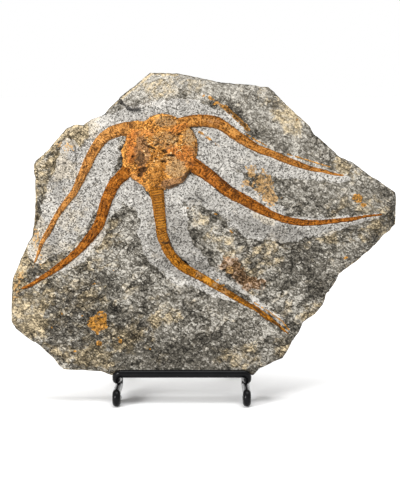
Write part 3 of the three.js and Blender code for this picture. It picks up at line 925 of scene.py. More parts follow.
@dataclass(frozen=True)
class FossilFinish:
    """Iron-stained calcite of one part of the star."""

    name: str
    main: Triple
    light: Triple
    deep: Triple
    red: Triple = (0.29, 0.098, 0.020)
    ochre: Triple = (0.19, 0.073, 0.010)
    violet: Triple = (0.150, 0.084, 0.044)
    buff: Triple = (0.18, 0.122, 0.064)
    crest_highlight_cream: Triple = (0.54, 0.40, 0.20)
    black: Triple = (0.022, 0.013, 0.008)
    lift: float = 0.14

    def paint(self) -> Material:
        """Makes the material."""
        p = Paint(self.name)
        bent = p.bent(1.8, 0.8)
        sand, sand_dome = p.crystals(0.8, bent)
        along = p.add("ShaderNodeCombineXYZ", {}, {"X": p.mark("along"), "Y": p.mark("across")})
        fibres = p.grain(1.0, 4.0, 0.9, place=along)
        fine = p.grain(0.7, 2.0, shift=0.4)
        grit = p.grain(1.5, 2.0, 0.4, shift=1.3)
        lumps = p.grain(4.2, 3.0, 0.6, shift=2.2)
        broad = p.grain(14.0, 2.0, shift=3.7)
        tone = p.mark("tone") - 0.5
        blend = 0.55 + lumps * 2.0 + grit * 1.4 + broad * 0.8 + tone * 0.3 + sand * 0.5 + fibres * 3.0
        blend = blend.eased(0.0, 1.0)
        colour = p.mix(blend, self.deep, self.main)
        glow = fibres * 2.4 + grit * 1.4 + lumps * 1.5 + sand * 0.2 + p.mark("bright") * 0.8
        colour = p.mix(glow.eased(0.15, 0.7), colour, self.light)
        zones = (("red", self.red), ("ochre", self.ochre), ("violet", self.violet), ("buff", self.buff))
        for mark, zone in zones:
            share = (p.mark(mark) * (1 + grit * 2.4 + lumps * 1.6 + sand * 0.8)).eased(0.15, 1.1)
            colour = p.mix(share * 0.8, colour, zone)
        # painted highlight: cream on the crests of the disc's curled ridges
        crest_light_and_gap_shade = (p.mark("crest_light_and_gap_shade") + grit * 0.8).eased(0.4, 0.9)
        colour = p.mix(crest_light_and_gap_shade * 0.75, colour, self.crest_highlight_cream)
        # dark flecks, with painted shade in the pits, in the gaps between the curled ridges and on the
        # arms' lower edges, all darkened towards black
        flecks_and_shade = p.mark("dark") + (0 - p.mark("crest_light_and_gap_shade")).at_least(0.0) + grit * 1.2
        flecks_and_shade = (flecks_and_shade + lumps * 0.6 + sand * 0.7 + fibres * 1.5).eased(0.42, 0.9)
        level = self.lift + sand * 2.2 + grit * 1.8 + lumps * 0.9 + tone * 0.2 + fibres * 6.5
        level = 2 ** (level + p.mark("bright") * 0.3).at_most(self.lift + 0.45)
        colour = p.shade(p.mix(flecks_and_shade * 0.85, colour, self.black), level)
        height = fine * 0.6 + grit - sand_dome * 0.4 + fibres * 1.2
        bump = p.bump(height, 0.8, 0.6)
        return p.finish(colour, 0.85 + fine * 0.2, 0.08, bump)


@dataclass(frozen=True)
class EnamelFinish:
    """Glossy black enamel on bent wire."""

    colour: Triple = (0.004, 0.004, 0.0045)
    roughness: float = 0.13

    def paint(self) -> Material:
        """Makes the material."""
        p = Paint("black_enamel")
        peel = p.grain(1.6, 1.0)
        worn = p.grain(9.0, 3.0, shift=1.0)
        colour = p.shade(self.colour, 1 + worn * 1.2)
        bump = p.bump(peel, 0.12, 0.2)
        return p.finish(colour, self.roughness + worn * 0.22, 0.1, bump)


@dataclass(frozen=True)
class PaperFinish:
    """Plain pale floor."""

    colour: Triple = (0.93, 0.93, 0.93)

    def paint(self) -> Material:
        """Makes the material."""
        return Paint("pale_floor").finish(self.colour, 0.95, 0.1)


class Rust(Enum):
    """The shades of iron stain on the star."""

    ORANGE_BROWN = FossilFinish(
        "orange_brown_calcite", (0.285, 0.124, 0.029), (0.375, 0.182, 0.052), (0.155, 0.065, 0.018)
    )
    DEEP_RUST = FossilFinish(
        "deep_rust_calcite", (0.20, 0.065, 0.007), (0.285, 0.11, 0.016), (0.10, 0.031, 0.004)
    )
    BRIGHT_ORANGE = FossilFinish(
        "bright_orange_calcite", (0.245, 0.098, 0.018), (0.335, 0.156, 0.038), (0.135, 0.05, 0.009)
    )
    OCHRE = FossilFinish(
        "ochre_calcite", (0.215, 0.081, 0.006), (0.30, 0.132, 0.014), (0.11, 0.039, 0.003)
    )
    BODY = FossilFinish(
        "mottled_calcite", (0.345, 0.155, 0.031), (0.42, 0.222, 0.064), (0.165, 0.073, 0.019), lift=0.5
    )


# ---------- The face of the rock ----------


@dataclass(frozen=True)
class Ledge:
    """A step in the bedding: the ground is higher by rise on the left of the line."""

    line: Line
    rise: float
    reach: float


@dataclass(frozen=True)
class Facet:
    """A broken facet at the rim, which falls away at a slope past a point."""

    at: tuple[float, float]
    toward: float  # degrees from +u
    half: float
    slope: float  # degrees


@dataclass(frozen=True)
class Spot:
    """An oval area of the face."""

    u: float
    v: float
    half_u: float
    half_v: float
    strength: float = 1.0
    turn: float = 0.0  # degrees, anticlockwise


@dataclass(frozen=True)
class Streak:
    """A narrow line on the face: a crack if it has a depth."""

    line: Line
    half: float
    strength: float = 1.0
    depth: float = 0.0


def spots(*rows: tuple[float, ...]) -> tuple[Spot, ...]:
    """Oval areas, from rows of their numbers."""
    return tuple(Spot(*row) for row in rows)


def streaks(*rows: tuple) -> tuple[Streak, ...]:
    """Narrow lines, from rows of their points and numbers."""
    return tuple(Streak(*row) for row in rows)


LEDGES = (
    Ledge(((-46, 186), (-51.5, 184.5), (-60, 192)), -1.8, 16),
    Ledge(((-31, 189), (-23, 199), (-10, 208)), -1.3, 14),
    Ledge(((22, 186), (40, 184.5), (49.5, 179.5), (60, 172.5), (76, 169)), -1.2, 14),
    Ledge(((-97.5, 173), (-90, 158.5), (-89.5, 146.5)), -1, 12),
    Ledge(((57.5, 119), (70.5, 115)), 1.2, 9),
    Ledge(((-30, 62), (-8, 52), (4, 30), (16, 4)), -1.1, 20),
    Ledge(((-92, 60), (-66, 52), (-48, 60)), 1, 16),
    Ledge(((60, 96), (62, 74), (84, 62)), -1.4, 18),
)

FACETS = (
    Facet((58, 178), 67, 24, 24), Facet((10, 200), 85, 26, 22), Facet((129, 112), -12, 14, 50),
    Facet((59, 20), -42, 20, 52), Facet((-104, 158), 137, 20, 38), Facet((-56, 192), 130, 22, 38),
    Facet((-115, 104), 172, 20, 30), Facet((106, 145), 54, 24, 34), Facet((104, 84), -44, 22, 40),
    Facet((-112, 22), -135, 18, 32),
)

# Darker areas of the face: darker rock, and painted shadow along the lower edges of the carved ground
# and under ledges.
DARK_GROUND = spots(
    (25, 69, 12, 6, 0.5, -35), (34, 118, 10, 3, 0.8, -25), (28, 129, 5, 4, 0.7), (89.5, 146, 2, 4),
    (-65.5, 102, 5, 13, 0.35), (-7, 121, 9, 4.5, 0.7, -12), (8, 109.5, 9, 4.5, 0.7, -38),
    (27, 101, 6, 4, 0.8, -25), (71.5, 80, 13, 19, 0.62), (-50, 57, 10, 7, 0.45), (-80, 37, 17, 17, 0.7),
    (-28, 15, 54, 9, 0.65), (-22, 17, 12, 5), (38, 183, 12, 5, 0.4, -30), (46, 189.5, 5, 4, 0.9),
    (27, 144.5, 2.6, 2.4, 1.2), (132, 111, 4, 11, 0.7), (-64.5, 45, 8, 5), (-6.5, 92, 13, 12, 0.7, -20),
    (62, 62, 10, 5, 0.9, -15), (64, 117, 8, 2, 0.4, 12), (-4.5, 48.5, 7, 2.5, 0.4, -8),
    (-30, 78, 10, 5, 0.8), (-23, 99, 18, 15, 1.1), (-93, 60, 7, 5, 0.7), (-72, 58, 6, 5, 0.6),
    (-12, 75, 20, 9, 1.7, -20), (0, 84, 9, 5, 0.8, -30), (-110, 126, 14, 16, 0.7),
    (-101, 40, 13, 18, 1.1, 20), (-126, 28, 9, 6, 0.7), (-128, 60, 7, 8, 0.6), (-54, 34, 12, 12, 0.4),
    (52, 39, 13, 8, 1.2, -25), (76, 61, 9, 8, 0.9), (-87, 6, 14, 5, 0.6), (-111, 100, 9, 24, 1.2, 12),
    (46, 102, 30, 8, 1.2, -15), (-72, 92, 7, 6, 0.4), (16, 64, 18, 6, 0.45, -35),
    (100, 105, 26, 4, 0.5, 5), (-105, 16, 8, 6, 0.6), (-40, 48, 6, 5), (-48, 27, 6, 6, 0.9),
    (-5, 27, 6, 5, 0.5), (60, 30, 6, 8, 0.5),
)

PALE_GROUND = spots(
    (-42, 201, 32, 12, 1.1, 8), (8, 202, 36, 9, 1.2, -4), (52, 180, 30, 13, 1, -32),
    (-86, 174, 16, 8, 1.1, 15), (98, 146, 20, 9, 0.6, -38), (66, 171, 12, 8, 0.6, -40),
    (46, 158, 14, 5, 0.5, -30), (-122, 44, 14, 20, 0.6), (-130, 68, 8, 14, 0.6),
    (-112, 120, 8, 30, 0.6, 10), (-98, 22, 18, 8, 0.3, -20), (-52, 103, 6, 10, 0.9),
    (98, 127, 28, 9, 0.4, -15), (-10, 113, 6, 6, 0.5), (-1, 104, 7, 7, 0.35), (10, 93, 12, 7, 0.45, -50),
    (52, 50, 8, 8, 1.1), (23, 38, 17, 12, 0.4, -20), (-53, 54, 10, 5, 1, 10), (-24, 61, 12, 7, 1),
    (-28, 46, 12, 12, 0.55), (-2, 196, 12, 5, 1.3), (50, 85, 8, 7, 0.9), (48, 75, 7, 3, 0.7, -10),
    (42, 109, 9, 3, 0.6, -22), (22, 83, 4, 2.5, 0.8), (-98, 70, 16, 7, 0.7, -35), (-28, 29, 9, 5, 0.5),
    (38, 59, 8, 7, 0.8, -30), (27, 24, 16, 9, 0.6, 20), (104, 92, 16, 8, 0.55, 35),
    (-66, 80, 20, 9, 1.2, -30), (7, 104, 5, 4, 0.4), (127, 103, 9, 7, 0.4), (46, 69, 12, 8, 0.6, -20),
    (-106, 161, 8, 4, 0.9, 45), (62, 124, 8, 9, 0.65), (30, 10, 10, 6, 0.7), (-66, 14, 12, 7, 0.5),
    (8, 9, 7, 7, 0.7), (45, 16, 8, 5, 0.6), (-44, 5, 9, 3, 0.5), (70, 156, 30, 8, 0.5, -30),
    (124, 133, 12, 7, 0.3), (12, 47, 22, 7, 0.8, -15), (50, 26, 6, 5, 0.6), (50, 129, 5, 5, 0.6),
    (72, 84, 8, 12, 0.3),
)

TAN_GROUND = spots(
    (-22, 199, 26, 8, 0.55), (-116, 98, 7, 28, 1, 12), (-130, 69, 7, 19, 1, -15),
    (-122, 43, 15, 18, 0.8), (58, 180, 18, 8, 0.62, -42), (98, 145, 10, 6, 0.8, -40),
    (117, 99, 16, 6, 0.7, 30), (-100, 146, 9, 14, 1, 20), (-87, 169, 18, 8, 1, 25),
    (-92, 16, 20, 9, 0.5, -15), (60, 17, 12, 12, 0.5, 30), (25, 12, 14, 9, 0.6),
    (-2, 105, 14, 6, 0.5, -55), (14, 90, 16, 7, 0.55, -40), (-28, 45, 13, 14, 0.5),
    (45, 84, 11, 10, 0.45), (54, 50, 8, 9, 0.3), (42, 109, 9, 3.4, 1, -22), (-55, 26, 20, 10, 0.55),
    (-80, 12, 18, 10, 0.8), (-84, 30, 12, 10, 0.5), (-96, 62, 18, 12, 0.5, -20),
    (-112, 128, 6, 18, 0.5, 8), (32, 70, 16, 12, 0.4, -30), (108, 112, 20, 14, 0.35),
    (-34, 37, 6, 5, 0.9), (-104, 88, 34, 66, 0.45, 12), (76, 40, 10, 10, 0.6), (86, 95, 7, 5, 0.6),
    (-66, 98, 8, 12, 0.5),
)

RUST_GROUND = spots(
    (19, 76, 7, 6, 0.9, -20), (24, 70, 9, 5, 0.8, -40), (33, 64, 8, 5, 0.9, -20),
)

OCHRE_GROUND = spots(
    (33, 141, 5.5, 4.5, 0.8, -40), (40, 134.5, 8, 7, 1, -50), (46, 126, 8, 5, 1, -60),
    (29, 133.5, 4, 2.5, 0.6, 20), (-118, 96, 4, 20, 0.5, 12), (18, 73, 4, 3, 0.6),
    (-131, 62, 4, 14, 0.5, -15), (-96, 160, 8, 5, 0.45),
)

# Where the broken ground is flat and fine.
CALM_GROUND = spots(
    (-38, 200, 34, 14, 1, 8), (16, 198, 42, 11, 1, -4), (56, 173, 40, 19, 1, -38),
    (98, 128, 38, 19, 1, -25), (-30, 11, 76, 11, 0.4), (90, 80, 22, 10, 0.6, 40),
    (-122, 44, 16, 22, 0.6), (6, 98, 10, 22, 0.6, 35),
)

ORANGE_SPOTS = spots(
    (-74.6, 36.6, 7.4, 6.2), (-72, 41.5, 4.5, 3.2, 0.85), (-74.6, 29.8, 1.1, 1.9),
    (-73.3, 22.1, 2.3, 2.3), (-58.5, 23.4, 1.3, 1.6, 1, 15), (-60, 26, 0.7, 0.6), (-90, 16.5, 1.3, 0.8),
    (-99, 42.5, 0.9, 1, 1, 30), (-85, 41.2, 0.8, 0.8), (-77, 63.4, 1.2, 0.9),
    (106.8, 123.6, 3.9, 3.4, 0.9), (111, 118.5, 2.2, 1.6, 0.8), (98.4, 81.6, 1.5, 0.9, 1, 30),
    (7, 189.4, 2.2, 1.1, 0.8, 30), (-12, 116, 1, 0.6), (7.6, 112, 1.6, 0.8, 1, -10),
    (18.6, 99.8, 2.2, 0.6, 0.9, -40), (64.8, 178, 1.1, 0.9, 0.7), (-63, 73, 0.9, 0.7, 0.7),
    (27, 163.6, 1, 0.8), (-0.6, 194.8, 1.5, 1, 0.8, 40), (9, 66, 1.1, 0.8, 0.8),
    (12.6, 62.5, 1.2, 0.9, 0.8), (84, 75.6, 0.9, 0.7, 0.7), (-38, 18, 0.8, 0.7, 0.7),
    (-106, 33, 1.1, 0.7, 0.6),
)

ORANGE_STREAKS = streaks(
    (((-3.4, 169.8), (4.6, 163.6)), 0.75), (((7.5, 161.5), (12.5, 158.5)), 1, 0.5),
    (((3.6, 193.4), (8.5, 190.6), (11.8, 187.8)), 1.1, 0.85),
    (((13.7, 187.2), (20.2, 182.2), (26.5, 176.3), (30, 171.7)), 1.6, 1.3),
    (((15.3, 184.2), (20.2, 179.6), (25.6, 174.8), (29.6, 171.8)), 0.7, 0.75),
    (((29, 168.4), (36, 163.6), (43, 160)), 0.5, 0.8), (((58, 154), (72, 149.8), (87, 145.2)), 0.5, 0.9),
    (((34.7, 50.2), (44, 44.6), (54, 37.4), (58.6, 31.6)), 0.55, 0.85),
    (((43.8, 119.4), (50.5, 114)), 0.4, 0.5), (((9.5, 129), (14, 125.8), (24, 120.2)), 0.3, 0.6),
    (((-99, 76.8), (-112, 68.2), (-123, 61.4)), 0.35, 0.6), (((-116, 82), (-119.5, 75)), 0.35, 0.5),
)

PALE_STREAKS = streaks(
    (((30.9, 183.8), (43.5, 182.8), (49.8, 180.2), (55.2, 176), (63.3, 172.2)), 0.7, 0.9),
    (((61.7, 164), (64.9, 154)), 1.4), (((70.6, 135), (75.6, 117)), 1.1, 0.9),
    (((-10, 208.3), (-22.8, 199.2), (-31, 188.7)), 0.9, 0.5),
    (((22, 130.6), (41.7, 120.7), (49.4, 114.6)), 0.6),
    (((14.5, 183), (20, 177.6), (27, 172)), 0.7, 0.6),
    (((7.6, 130.6), (11.8, 127), (24, 119.7)), 0.4, 0.8),
    (((-71, 103), (-75.5, 94.5), (-85.5, 83), (-100, 73), (-121, 60.5)), 0.7, 0.9),
    (((-103, 77.4), (-114, 70), (-125, 62.4)), 0.5, 0.7),
    (((44, 158), (56, 153), (70, 148.6), (86, 143.6)), 0.8),
    (((18, 60.3), (27, 54.6), (36, 48.8), (44, 42.6)), 0.45, 0.9),
    (((47, 42), (54, 35.6), (58, 31)), 0.45, 0.7), (((58, 77), (67, 69), (77, 61)), 0.4, 0.7),
)

# A lighter, tan band along the face's edge on the left and the top.
LEFT_EDGE_BAND = streaks(
    (((-133.6, 50), (-133, 64), (-129, 78), (-120, 97.5), (-117.5, 122), (-118.5, 146),
      (-107, 159), (-95, 171.5), (-79, 177.5), (-59.5, 191.5), (-38, 209.5), (-18, 209.5)),
     1.1, 0.9),
)

# Cracks and lines of painted shadow under ledges and between streaks, all painted near-black as shade;
# those with a depth are also cut into the face.
CRACK_AND_SHADOW_LINES = streaks(
    (((-59.9, 192.2), (-55.7, 188), (-51.5, 184.9), (-45.9, 185.4)), 1.5, 1, 1.7),
    (((-97.7, 173.3), (-90, 158.6), (-89.3, 146.7)), 0.6, 0.7, 0.6),
    (((10.9, 11.6), (17.9, 3.2)), 0.8, 1, 0.8), (((-50, 64.8), (-43.8, 66.9)), 0.8, 0.9, 0.7),
    (((55.7, 115.2), (66.9, 118)), 0.8, 0.9, 0.8),
    (((-16, 105.4), (-10, 110), (-3.9, 111.2)), 0.6, 0.7, 0.4),
    (((-11, 122.6), (-3.9, 123.3), (2.5, 119)), 0.7, 0.8, 0.5),
    (((-86.3, 41.2), (-80.9, 45.6)), 0.5, 0.7, 0.4), (((8, 129.4), (14.5, 124.6)), 0.7, 1, 0.6),
    (((17, 187), (22.5, 182.8), (28.6, 177)), 0.7, 0.75, 0.7),
    (((13.7, 187.2), (20.2, 182.2), (26.5, 176.3), (30, 171.7)), 1.3, 0.68),
    (((15.3, 184.2), (20.2, 179.6), (25.6, 174.8), (29.6, 171.8)), 0.7, 0.68),
    (((16.4, 184.6), (22, 179.4), (28, 173.6)), 0.55, 0.8, 0.5),
    (((4.8, 163.4), (5.4, 162.6)), 0.7, 1, 0.5), (((-56.4, 163), (-55.6, 162.6)), 0.8, 1, 0.6),
    (((-56, 20), (-40, 17), (-30, 19)), 0.5, 0.5, 0.4), (((66, 100), (76, 92)), 0.6, 0.6, 0.5),
    (((62, 70), (72, 60)), 0.6, 0.6, 0.5), (((-118, 60), (-106, 52)), 0.5, 0.4, 0.4),
    (((24, 147), (29, 146.3)), 0.5, 0.7, 0.4), (((6.8, 147.5), (16, 149.4), (24, 147)), 0.35, 0.6, 0.2),
)

# Lines that the mesh of the face follows.
SEAMS = CRACK_AND_SHADOW_LINES + PALE_STREAKS + ORANGE_STREAKS


def spots_mask(u: Array, v: Array, areas: tuple[Spot, ...], seed: int, rag: float = 1.0) -> Array:
    """Marks oval areas whose edges are broken up.

    Args:
        u: places to the right.
        v: places up the face.
        areas: the areas.
        seed: which ragged edge.
        rag: how ragged the edges are.

    Returns:
        A mark for each place, 0 outside.
    """
    mask = np.zeros(u.shape)
    ragged = rag * (0.5 * layered(u / 7, v / 7, seed, 3) + 0.3 * chips(u / 2.6, v / 2.2, seed + 1))
    for spot in areas:
        angle = math.radians(spot.turn)
        du = u - spot.u
        dv = v - spot.v
        x = (du * math.cos(angle) + dv * math.sin(angle)) / spot.half_u
        y = (dv * math.cos(angle) - du * math.sin(angle)) / spot.half_v
        level = spot.strength * (1 - smoothstep(np.hypot(x, y) + ragged, 0.6, 1.3))
        mask = np.maximum(mask, level)
    return mask


def streaks_mask(u: Array, v: Array, lines: tuple[Streak, ...]) -> Array:
    """Marks narrow lines.

    Args:
        u: places to the right.
        v: places up the face.
        lines: the lines.

    Returns:
        A mark for each place, 0 outside.
    """
    mask = np.zeros(u.shape)
    for streak in lines:
        near = to_line(u, v, streak.line)
        ragged = 0.75 + 0.5 * noise(near.run / 2.3, near.distance * 0 + streak.half, 71)
        level = 1 - smoothstep(near.distance, 0.4 * streak.half * ragged, 1.5 * streak.half * ragged)
        mask = np.maximum(mask, streak.strength * level)
    return mask


@dataclass
class Ground:
    """The rock face: the solid's height, with the fine relief that broke and was carved into it."""

    halo_depth: float = 1.3  # rock cleaned away around the star
    halo_width: float = 12.0
    deepest: float = -9.0
    disc_centre: tuple[float, float] = (-31.9, 155.8)
    disc_radius: float = 26.0
    ledge_break: float = 0.9  # width of a step
    bed_step: float = 0.8  # thickness of a split bed
    raised: float = 0.45  # how much the uncarved ground stands over the carved
    stand_reach: tuple[float, float] = (-68.0, 37.0)  # where the lip bar runs past the face

    def from_centre(self, u: Array, v: Array) -> Array:
        """Distance to the middle of the disc."""
        return np.hypot(u - self.disc_centre[0], v - self.disc_centre[1])

    def to_star(self, u: Array, v: Array) -> Array:
        """Distance to the rim of the star, zero on the star itself."""
        nearest = self.from_centre(u, v) - self.disc_radius
        for line in ARMS.values():
            near = to_line(u, v, line)
            nearest = np.minimum(nearest, near.distance - near.width)
        return np.maximum(nearest, 0)

    def height(self, u: Array, v: Array) -> Array:
        """Height of the face as in the solid.

        Args:
            u: places to the right.
            v: places up the face.

        Returns:
            Heights out of the face.
        """
        bumps = 1.2 * noise(u / 60, v / 60, 1) + 0.9 * noise(u / 26, v / 26, 2)
        bumps += 0.45 * noise(u / 11, v / 11, 3)
        for ledge in LEDGES:
            near = to_line(u, v, ledge.line)
            step = smoothstep(near.distance, 0, self.ledge_break)
            fade = 1 - smoothstep(near.distance, 3, ledge.reach)
            bumps += ledge.rise * near.side * 0.5 * step * fade
        far = smoothstep(self.to_star(u, v), 0.6 * self.halo_width, 1.3 * self.halo_width)
        w = bumps * far + (0.5 * bumps - self.halo_depth) * (1 - far)
        w *= smoothstep(v, 2, 16)
        for facet in FACETS:
            angle = math.radians(facet.toward)
            du = u - facet.at[0]
            dv = v - facet.at[1]
            past = np.maximum(du * math.cos(angle) + dv * math.sin(angle), 0)
            beside = np.abs(dv * math.cos(angle) - du * math.sin(angle))
            inside = 1 - smoothstep(beside, facet.half, facet.half + 9)
            w -= math.tan(math.radians(facet.slope)) * past * inside
        return np.maximum(w, self.deepest)

    def carved(self, u: Array, v: Array) -> Array:
        """Where the rock was cleaned away around the star, from 0 to 1."""
        inside = np.full(u.shape, -9.0)
        for line in CLEANED:
            near = to_line(u, v, line)
            inside = np.maximum(inside, near.width - near.distance)
        inside += 3.2 * layered(u / 9, v / 9, 81, 3) + 0.9 * noise(u / 1.9, v / 1.9, 84)
        return smoothstep(inside, -1.3, 1.3)

    def relief(self, u: Array, v: Array, carved: Array) -> tuple[Array, Array, Array]:
        """Height of the face with its fine relief.

        Args:
            u: places to the right.
            v: places up the face.
            carved: where the rock was cleaned away.

        Returns:
            Heights out of the face, the fine relief alone, and the tone of its facets.
        """
        bend_u = u + 1.8 * noise(u / 5, v / 5, 91) + 0.7 * noise(u / 2, v / 2, 93)
        bend_v = v + 1.8 * noise(u / 5, v / 5, 92) + 0.7 * noise(u / 2, v / 2, 94)
        slant_u = 0.82 * bend_u + 0.57 * bend_v
        slant_v = 0.82 * bend_v - 0.57 * bend_u
        large, large_tone = facets(slant_u / 14, slant_v / 7, 21)
        middle, middle_tone = facets(slant_u / 6.0, slant_v / 3.2, 31)
        small, small_tone = facets(bend_u / 2.6, bend_v / 1.9, 36)
        grit = noise(u / 0.9, v / 0.9, 53)
        beds = 3.4 * layered(slant_u / 30, slant_v / 15, 25, 4)
        bed = np.floor(beds)
        bed_tone = 2 * lattice(bed, 0 * bed, 26) - 1
        rough = 0.3 * large + 0.28 * middle + 0.22 * small + 0.22 * grit
        rough += self.bed_step * (bed + smoothstep(beds - bed, 0, 0.16) - 0.5)
        rough *= 1 - 0.45 * spots_mask(u, v, CALM_GROUND, 161, 0.7)
        even = 0.18 * noise(u / 5, v / 5, 51) + 0.12 * noise(u / 1.7, v / 1.7, 52) + 0.08 * grit
        fine = (rough + self.raised) * (1 - carved) + even * carved
        beside = np.maximum(self.stand_reach[0] - u, u - self.stand_reach[1])
        fine *= np.maximum(smoothstep(v, 4, 9), smoothstep(beside, 0, 8))
        for crack_and_shadow in CRACK_AND_SHADOW_LINES:
            near = to_line(u, v, crack_and_shadow.line)
            fine -= crack_and_shadow.depth * (1 - smoothstep(near.distance, 0.2 * crack_and_shadow.half, 1.1 * crack_and_shadow.half))
        tone = 0.3 * large_tone + 0.45 * middle_tone + 0.4 * small_tone + 0.7 * bed_tone
        return self.height(u, v) + fine, rough * (1 - carved) + 2 * even * carved, tone * (1 - carved)


@dataclass
class RockSlab:
    """The broken slab of siltstone, with the bed in which the star lies."""

    ground: Ground
    finish: RockFinish
    thickness: float = SLAB_THICKNESS
    face_cell: float = 0.86
    hidden_cell: float = 2.4
    back_cell: float = 3.0
    rim_step: float = 1.05
    rim_inset: float = 1.1
    rim_depth: float = 3.4
    chamfer: float = 3.0
    back_relief: float = 1.4
    edge_relief: float = 2.2
    bed_depth: float = 1.5
    side_rows: int = 11
    heart: tuple[float, float] = (-3.0, 104.5)

    def rim(self) -> tuple[Array, Array, Array]:
        """Goes round the outline in small steps.

        Returns:
            The points, anticlockwise; the inward direction at each; and 1 where the base is.
        """
        corners = np.array(OUTLINE, dtype=float)[::-1]
        steps = []
        for start, end in zip(corners, np.roll(corners, -1, axis=0)):
            count = max(1, math.ceil(np.linalg.norm(end - start) / self.rim_step))
            share = np.arange(count)[:, None] / count
            steps.append(start + (end - start) * share)
        points = np.vstack(steps)
        base = (points[:, 1] < 0.01).astype(float)
        along = np.roll(points, -2, axis=0) - np.roll(points, 2, axis=0)
        along /= np.linalg.norm(along, axis=1, keepdims=True)
        inward = np.stack([-along[:, 1], along[:, 0]], 1)
        inward[base > 0] = (0, 1)
        run = np.arange(len(points)) * self.rim_step
        nick = 0.15 + 0.35 * noise(run / 6, run * 0, 11) + 0.3 * chips(run / 3.1, run * 0 + 0.3, 12)
        away = smoothstep(np.abs(points[:, 0] + 15.5), 50, 56)
        away = np.maximum(away, smoothstep(points[:, 1], 0, 4))
        points = points + inward * (np.maximum(nick, 0) * away * (1 - base))[:, None]
        return points, inward, base

    def feature_points(self) -> Array:
        """Points laid along the arms' edges, the cracks and the ledges, so that those stay sharp."""
        rows = []
        for line in ARMS.values():
            path = smooth_line(line, 0.85)
            aside = sideways(path)
            for edge in (-0.75, -0.3, 0.12, 0.6):
                for side in (-1, 1):
                    rows.append(path[:, :2] + aside * side * (path[:, 2:3] + edge))
        for seam in SEAMS:
            offsets = [share * seam.half for share in (-1.6, -0.5, 0.5, 1.6)]
            rows += rows_beside(seam.line, 0.7, offsets)
        for ledge in LEDGES:
            rows += rows_beside(ledge.line, 0.8, [-0.8, -0.3, 0.3, 0.8])
        return np.vstack(rows)

    def face_points(self, rim: Array) -> Array:
        """Points of the face inside its rim.

        Args:
            rim: the face's rim.

        Returns:
            The points, as (u, v).
        """
        cells = hexagonal(SLAB_LOW, SLAB_HIGH, self.face_cell)
        cells = cells[self.star_edge(*cells.T) > 0.9]
        for seam in SEAMS:
            cells = cells[to_line(*cells.T, seam.line).distance > 1.6 * seam.half + 0.45]
        for ledge in LEDGES:
            cells = cells[to_line(*cells.T, ledge.line).distance > 1.2]
        hidden = hexagonal(SLAB_LOW, SLAB_HIGH, self.hidden_cell)
        hidden = hidden[self.star_edge(*hidden.T) < -1.4]
        points = np.vstack([self.feature_points(), cells, hidden])
        return self.well_inside(points, rim, 0.6)

    def well_inside(self, points: Array, rim: Array, margin: float) -> Array:
        """Keeps the points that lie inside a rim, seen from the slab's heart.

        Args:
            points: points as (u, v).
            rim: the closed rim.
            margin: how far inside they lie at least.

        Returns:
            Those points.
        """
        spokes = rim - self.heart
        angles = np.arctan2(spokes[:, 1], spokes[:, 0])
        order = np.argsort(angles)
        reach = np.hypot(*spokes.T)[order]
        angles = angles[order]
        angles = np.concatenate([angles[-1:] - 2 * np.pi, angles, angles[:1] + 2 * np.pi])
        reach = np.concatenate([reach[-1:], reach, reach[:1]])
        out = points - self.heart
        limit = np.interp(np.arctan2(out[:, 1], out[:, 0]), angles, reach)
        return points[np.hypot(*out.T) < limit - margin]

    def star_edge(self, u: Array, v: Array) -> Array:
        """Distance outside the star's edge, negative inside it."""
        edge = np.full(u.shape, 99.0)
        for line in ARMS.values():
            near = to_line(u, v, smooth_line(line, 2.0))
            edge = np.minimum(edge, near.distance - near.width)
        near = to_line(u, v, DISC_OUTLINE + DISC_OUTLINE[:1])
        return np.minimum(edge, near.distance * near.side)

    def face_height(self, u: Array, v: Array) -> Array:
        """Height of the slab's front, with the bed under the star."""
        w = self.ground.relief(u, v, self.ground.carved(u, v))[0]
        bed = 1 - smoothstep(self.star_edge(u, v), -0.75, -0.3)
        return w * (1 - bed) + (self.ground.height(u, v) - self.bed_depth) * bed

    def back_height(self, u: Array, v: Array) -> Array:
        """Height of the slab's rough back."""
        dip = self.back_relief * (0.5 + 0.5 * noise(u / 30, v / 30, 6))
        return dip - self.thickness + 0.25 * np.maximum(chips(u / 14, v / 10, 95), -0.6) + 0.15

    def rings(self, rim: Array, inward: Array, base: Array) -> tuple[list[Array], list[Array]]:
        """Works out the rows of points from the face's rim down the broken side to the back's rim.

        Args:
            rim: the outline.
            inward: the inward direction at each of its points.
            base: 1 where the level base is.

        Returns:
            The (u, v) of each row, and its heights.
        """
        run = np.arange(len(rim)) * self.rim_step
        worn = self.rim_inset * (1 + 0.5 * noise(run / 4, run * 0, 14))
        front_inset = np.where(base > 0, self.chamfer, worn)
        front = rim + inward * front_inset[:, None]
        back = rim + inward * (0.9 * self.rim_inset)
        top = self.face_height(*front.T) - 0.25 * (1 - base)
        low = self.back_height(*back.T)
        shares = (1.0, 0.6, 0.32, 0.12, 0.0)
        depths = (0.0, 0.12, 0.3, 0.6, 1.0)
        flat_rows = []
        heights = []
        for share, depth in zip(shares, depths):
            level = np.where(base > 0, 1 - depth, share)
            flat_rows.append(rim + inward * (front_inset * level)[:, None])
            heights.append(top - depth * np.where(base > 0, self.chamfer, self.rim_depth))
        upper = heights[-1]
        lower = low + self.rim_depth
        for k in range(1, self.side_rows + 1):
            t = k / (self.side_rows + 1)
            w = upper * (1 - t) + lower * t
            flat_rows.append(rim + inward * (self.hollow(rim, run, w) * (1 - base))[:, None])
            heights.append(w)
        for share, depth in zip(reversed(shares), reversed(depths)):
            level = np.where(base > 0, 0.4 * share, 0.9 * share)
            flat_rows.append(rim + inward * (self.rim_inset * level)[:, None])
            heights.append(low + depth * self.rim_depth)
        heights[-1] = self.back_height(*flat_rows[-1].T)
        return flat_rows, heights

